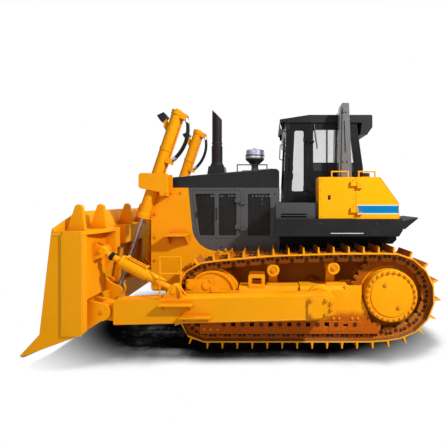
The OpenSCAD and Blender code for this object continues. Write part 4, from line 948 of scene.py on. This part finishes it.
dress(paint("tank_paint", (1.0, 0.39, 0.002), (1.0, 0.48, 0.008), 0.4, 0.03, dusty=0.02, marks=tank_band,
            shine=0.06), "tank_left", "tank_right", "tank_door")
pressed("tank_catch", "tank_door_body", dark_screw, [
    ((1.462, -1.556, 2.585), (1.508, -1.546, 2.665)), ((1.473, -1.568, 2.6), (1.497, -1.554, 2.65))], 0.005)
tank_face, tank_inner = 1.55, 1.16
amber_bolts("tank_door_rivets", "tank_door_body", [
    ((x, -tank_face, z), (0, -1, 0)) for x in (1.335, 1.9) for z in (2.3, 2.45, 2.6, 2.75, 2.93)],
    0.018, 0.008, 12, 1.0)
for side, sign in sides:
    turned("filler_cap_" + side, "chassis", moulded, [[
        (0.0, -0.006), (0.064, -0.006), (0.066, 0.0), (0.066, 0.034), (0.058, 0.044), (0.02, 0.046),
        (0, 0.046)]], (2.18, sign * 1.34, 3.02), up, steps=24)
    tubes("tank_beads_" + side, "chassis", "yellow_paint", bead, [
        [(2.705, sign * y, 2.26), (2.69, sign * y, 2.533), (2.367, sign * y, 2.98)]
        for y in (tank_face, tank_inner)], 0.005, sides=6)

# Push arms: long box beams with bolted trunnion caps, steps with tread buttons, and weld beads along
# the seams.
dress_pair(yellow, "push_arm")
cap_spots = ((1.111, 0.965), (1.111, 0.725), (1.345, 0.965), (1.43, 0.92), (1.43, 0.82), (1.345, 0.735))
arm_seams = (((-2.05, 2.0, 0.575), (1.2, 2.0, 0.655)), ((1.055, 2.001, 0.72), (1.055, 2.001, 0.97)),
             ((-1.33, 1.942, 0.968), (-0.93, 1.942, 0.982)), ((-2.078, 1.925, 0.6), (-2.078, 1.925, 0.9)))
for side, sign in sides:
    amber_bolts("cap_screws_" + side, "push_arms",
                [((x, sign * 2.028, z), (0, sign, 0)) for x, z in cap_spots], 0.05, 0.03, flange=1.35)
    step_y = sign * 2.005, sign * 2.11
    amber_bolts("arm_treads_" + side, "push_arms", treads(-1.32, -0.8, *step_y, 0.914) + treads(
        -0.995, -0.505, *step_y, 0.718), 0.018, 0.006, 8, 1.0)
    tubes("arm_beads_" + side, "push_arms", "yellow_paint", bead, on_side(sign, arm_seams), 0.008, sides=8)

# Blade: rolled moldboard with boxed wings, end plates and fins, welded together; the cutting edge and
# end bits are bolted on with flush plough bolts and scoured at the tip.
dress(yellow, "blade")
scoured_to = 0.235


def scoured(made, place):
    uneven = made.axis(place, "Z") + 0.09 * made.noise(place, 7.0, 5.0)
    return [(uneven < scoured_to, (0.42, 0.2, 0.06))]


dress(paint("cutting_edge_paint", (0.93, 0.38, 0.005), (0.5, 0.42, 0.33), 0.42, 0.05, dusty=0.12,
            marks=scoured), "cutting_edge")
# Painted highlight: the rounded strips along the blade's end edges are painted a paler yellow for the light
# they catch.
rubbed_and_highlit = paint("highlit_edge_paint", (1.0, 0.58, 0.03), (1.0, 0.62, 0.05), 0.4, dusty=0.02, shine=0.08)
edge_out = Vector((-0.254, 0, 0.269)).normalized()
edge_rows = ((-3.075, 0.292), (-3.02, 0.344))
edge_spots = [((x, i * 0.2 - 1.7, z), edge_out) for i in range(18) for x, z in edge_rows]
wing_x, wing_y, bit_length = -2.881, -1.8, 0.55
wing_turn = Matrix.Rotation(math.radians(-18), 3, "Z")
for share in (0.15, 0.5, 0.85):
    for x, z in edge_rows:
        spot = wing_turn @ Vector((x - wing_x, -bit_length * share, z)) + Vector((wing_x, wing_y, 0))
        facing = wing_turn @ edge_out
        edge_spots += [(spot, facing), ((spot.x, -spot.y, spot.z), (facing.x, -facing.y, facing.z))]
bolts("plough_bolts", "blade_body", "edge_steel", oiled_steel, edge_spots, 0.036, 0.008, 16, 1.0)
end_edges = (((-2.87, 2.322, 2.05), (-2.72, 2.322, 2.055)),
             ((-2.708, 2.337, 2.06), (-2.708, 2.337, 0.52), (-2.41, 2.337, 0.52)))
end_seam = ((-2.398, 2.32, 0.55), (-2.398, 2.32, 2.08))
for side, sign in sides:
    tubes("blade_edges_" + side, "blade_body", "yellow_paint", rubbed_and_highlit, on_side(sign, end_edges), 0.012)
    tubes("blade_beads_" + side, "blade_body", "yellow_paint", bead, on_side(sign, [end_seam]),
          0.008, sides=8)
    amber_bolts("blade_pins_" + side, "blade_body", [
        ((-2.28, sign * 1.99, 0.76), (0, sign, 0)), ((-2.33, sign * 1.955, 1.733), (0, sign, 0))],
        0.06, 0.016, flange=1.0)

# Lift cylinders: painted barrels in yokes with plated rods, two rubber hoses with crimped ferrules and a
# steel pipe along the barrel, and a square work lamp on a bracket at the top.
dress_pair(yellow, "lift_barrel")
dress_pair(metal("plated_rod", (0.3, 0.28, 0.31), 0.2, dirt=(0.16, 0.13, 0.13), dirty=0.4), "lift_rod")
dress_pair(rubber, "lift_hoses")
dress_pair(paint("lamp_paint", (0.009, 0.01, 0.018), (0.05, 0.05, 0.07), 0.4, 0.03, dusty=0.03, shine=0.1),
           "lamp")
crimped = metal("crimped_ferrule", (0.45, 0.45, 0.46), 0.3, dirty=0.3)
down = Vector((-0.31900033, 0, -0.9477546))
ahead = Vector((-0.9477546, 0, 0.31900033))
lamp_tilt = math.radians(-35)
lamp_way = Vector((-math.cos(lamp_tilt), 0, math.sin(lamp_tilt)))
bow, half_turn = 0.78, math.radians(36)
pipe_path = ((1.36, 0.1), (1.33, 0.128), (0.56, 0.128), (0.52, 0.1))


def ring_spots(centre, radius, over, facing):
    """Eight places round a cylinder's gland."""
    turns = [math.pi * i / 4 for i in range(8)]
    return [(centre + radius * (over * math.cos(t) + Vector((0, math.sin(t), 0))), facing) for t in turns]


for side, sign in sides:
    body = "lift_barrel_" + side + "_body"
    pivot = Vector((-1.76, sign * 0.95, 2.92))
    centre = pivot + ahead * (bow * math.cos(half_turn) - 0.108 - 0.06) - down * 0.93
    ferrules = []
    for across in (-0.045, 0.045):
        for end in (-1, 1):
            turns = [math.pi + end * (half_turn - d) for d in (0.075, 0.12, 0.165)]
            hose = centre + Vector((0, across, 0))
            ferrules.append([hose + bow * (ahead * math.cos(t) + down * math.sin(t)) for t in turns])
    tubes("ferrules_" + side, body, "hose_rubber", crimped, ferrules, 0.031, sides=16)
    tubes("lift_pipe_" + side, body, "chrome_rod", crimped,
          [[pivot - down * rise - ahead * back for rise, back in pipe_path]], 0.01, bend=0.02)
    place = Vector((-1.59, sign * 0.95, 4.16)) + 0.07 * lamp_way
    turned("lamp_rim_" + side, body, crimped, [[
        (0.058, -0.006), (0.07, -0.002), (0.071, 0.003), (0.067, 0.007), (0.06, 0.004), (0.058, -0.006)]],
        place, lamp_way)
    turned("lamp_lens_" + side, body, lens_glass, [[
        (0, -0.01), (0.0585, -0.01), (0.058, -0.004), (0.035, 0.0), (0, 0.002)]], place, lamp_way)
    amber_bolts("gland_bolts_" + side, body,
                ring_spots(pivot + down * 0.715, 0.095, ahead, down), 0.026, 0.016)

# Brace cylinders: short barrels with long necks pinned on the arms, each with a ring of gland bolts and a
# rubber boot on its rod.
dress_pair(yellow, "brace_barrel", "brace_rod")
way = Vector((-0.8799054, 0, 0.47514891))
over = Vector((0.47514891, 0, 0.8799054))
for side, sign in sides:
    start = Vector((-1.13, sign * 1.84, 1.085))
    amber_bolts("brace_gland_bolts_" + side, "brace_barrel_" + side + "_body",
                ring_spots(start + way * 1.012, 0.094, over, way), 0.022, 0.012)
    turned("brace_boot_" + side, "brace_rod_" + side + "_body", rubber,
           [band(0.047, 1.16, 1.21, 0.022), band(0.047, 1.14, 1.165, 0.012)], start, way)
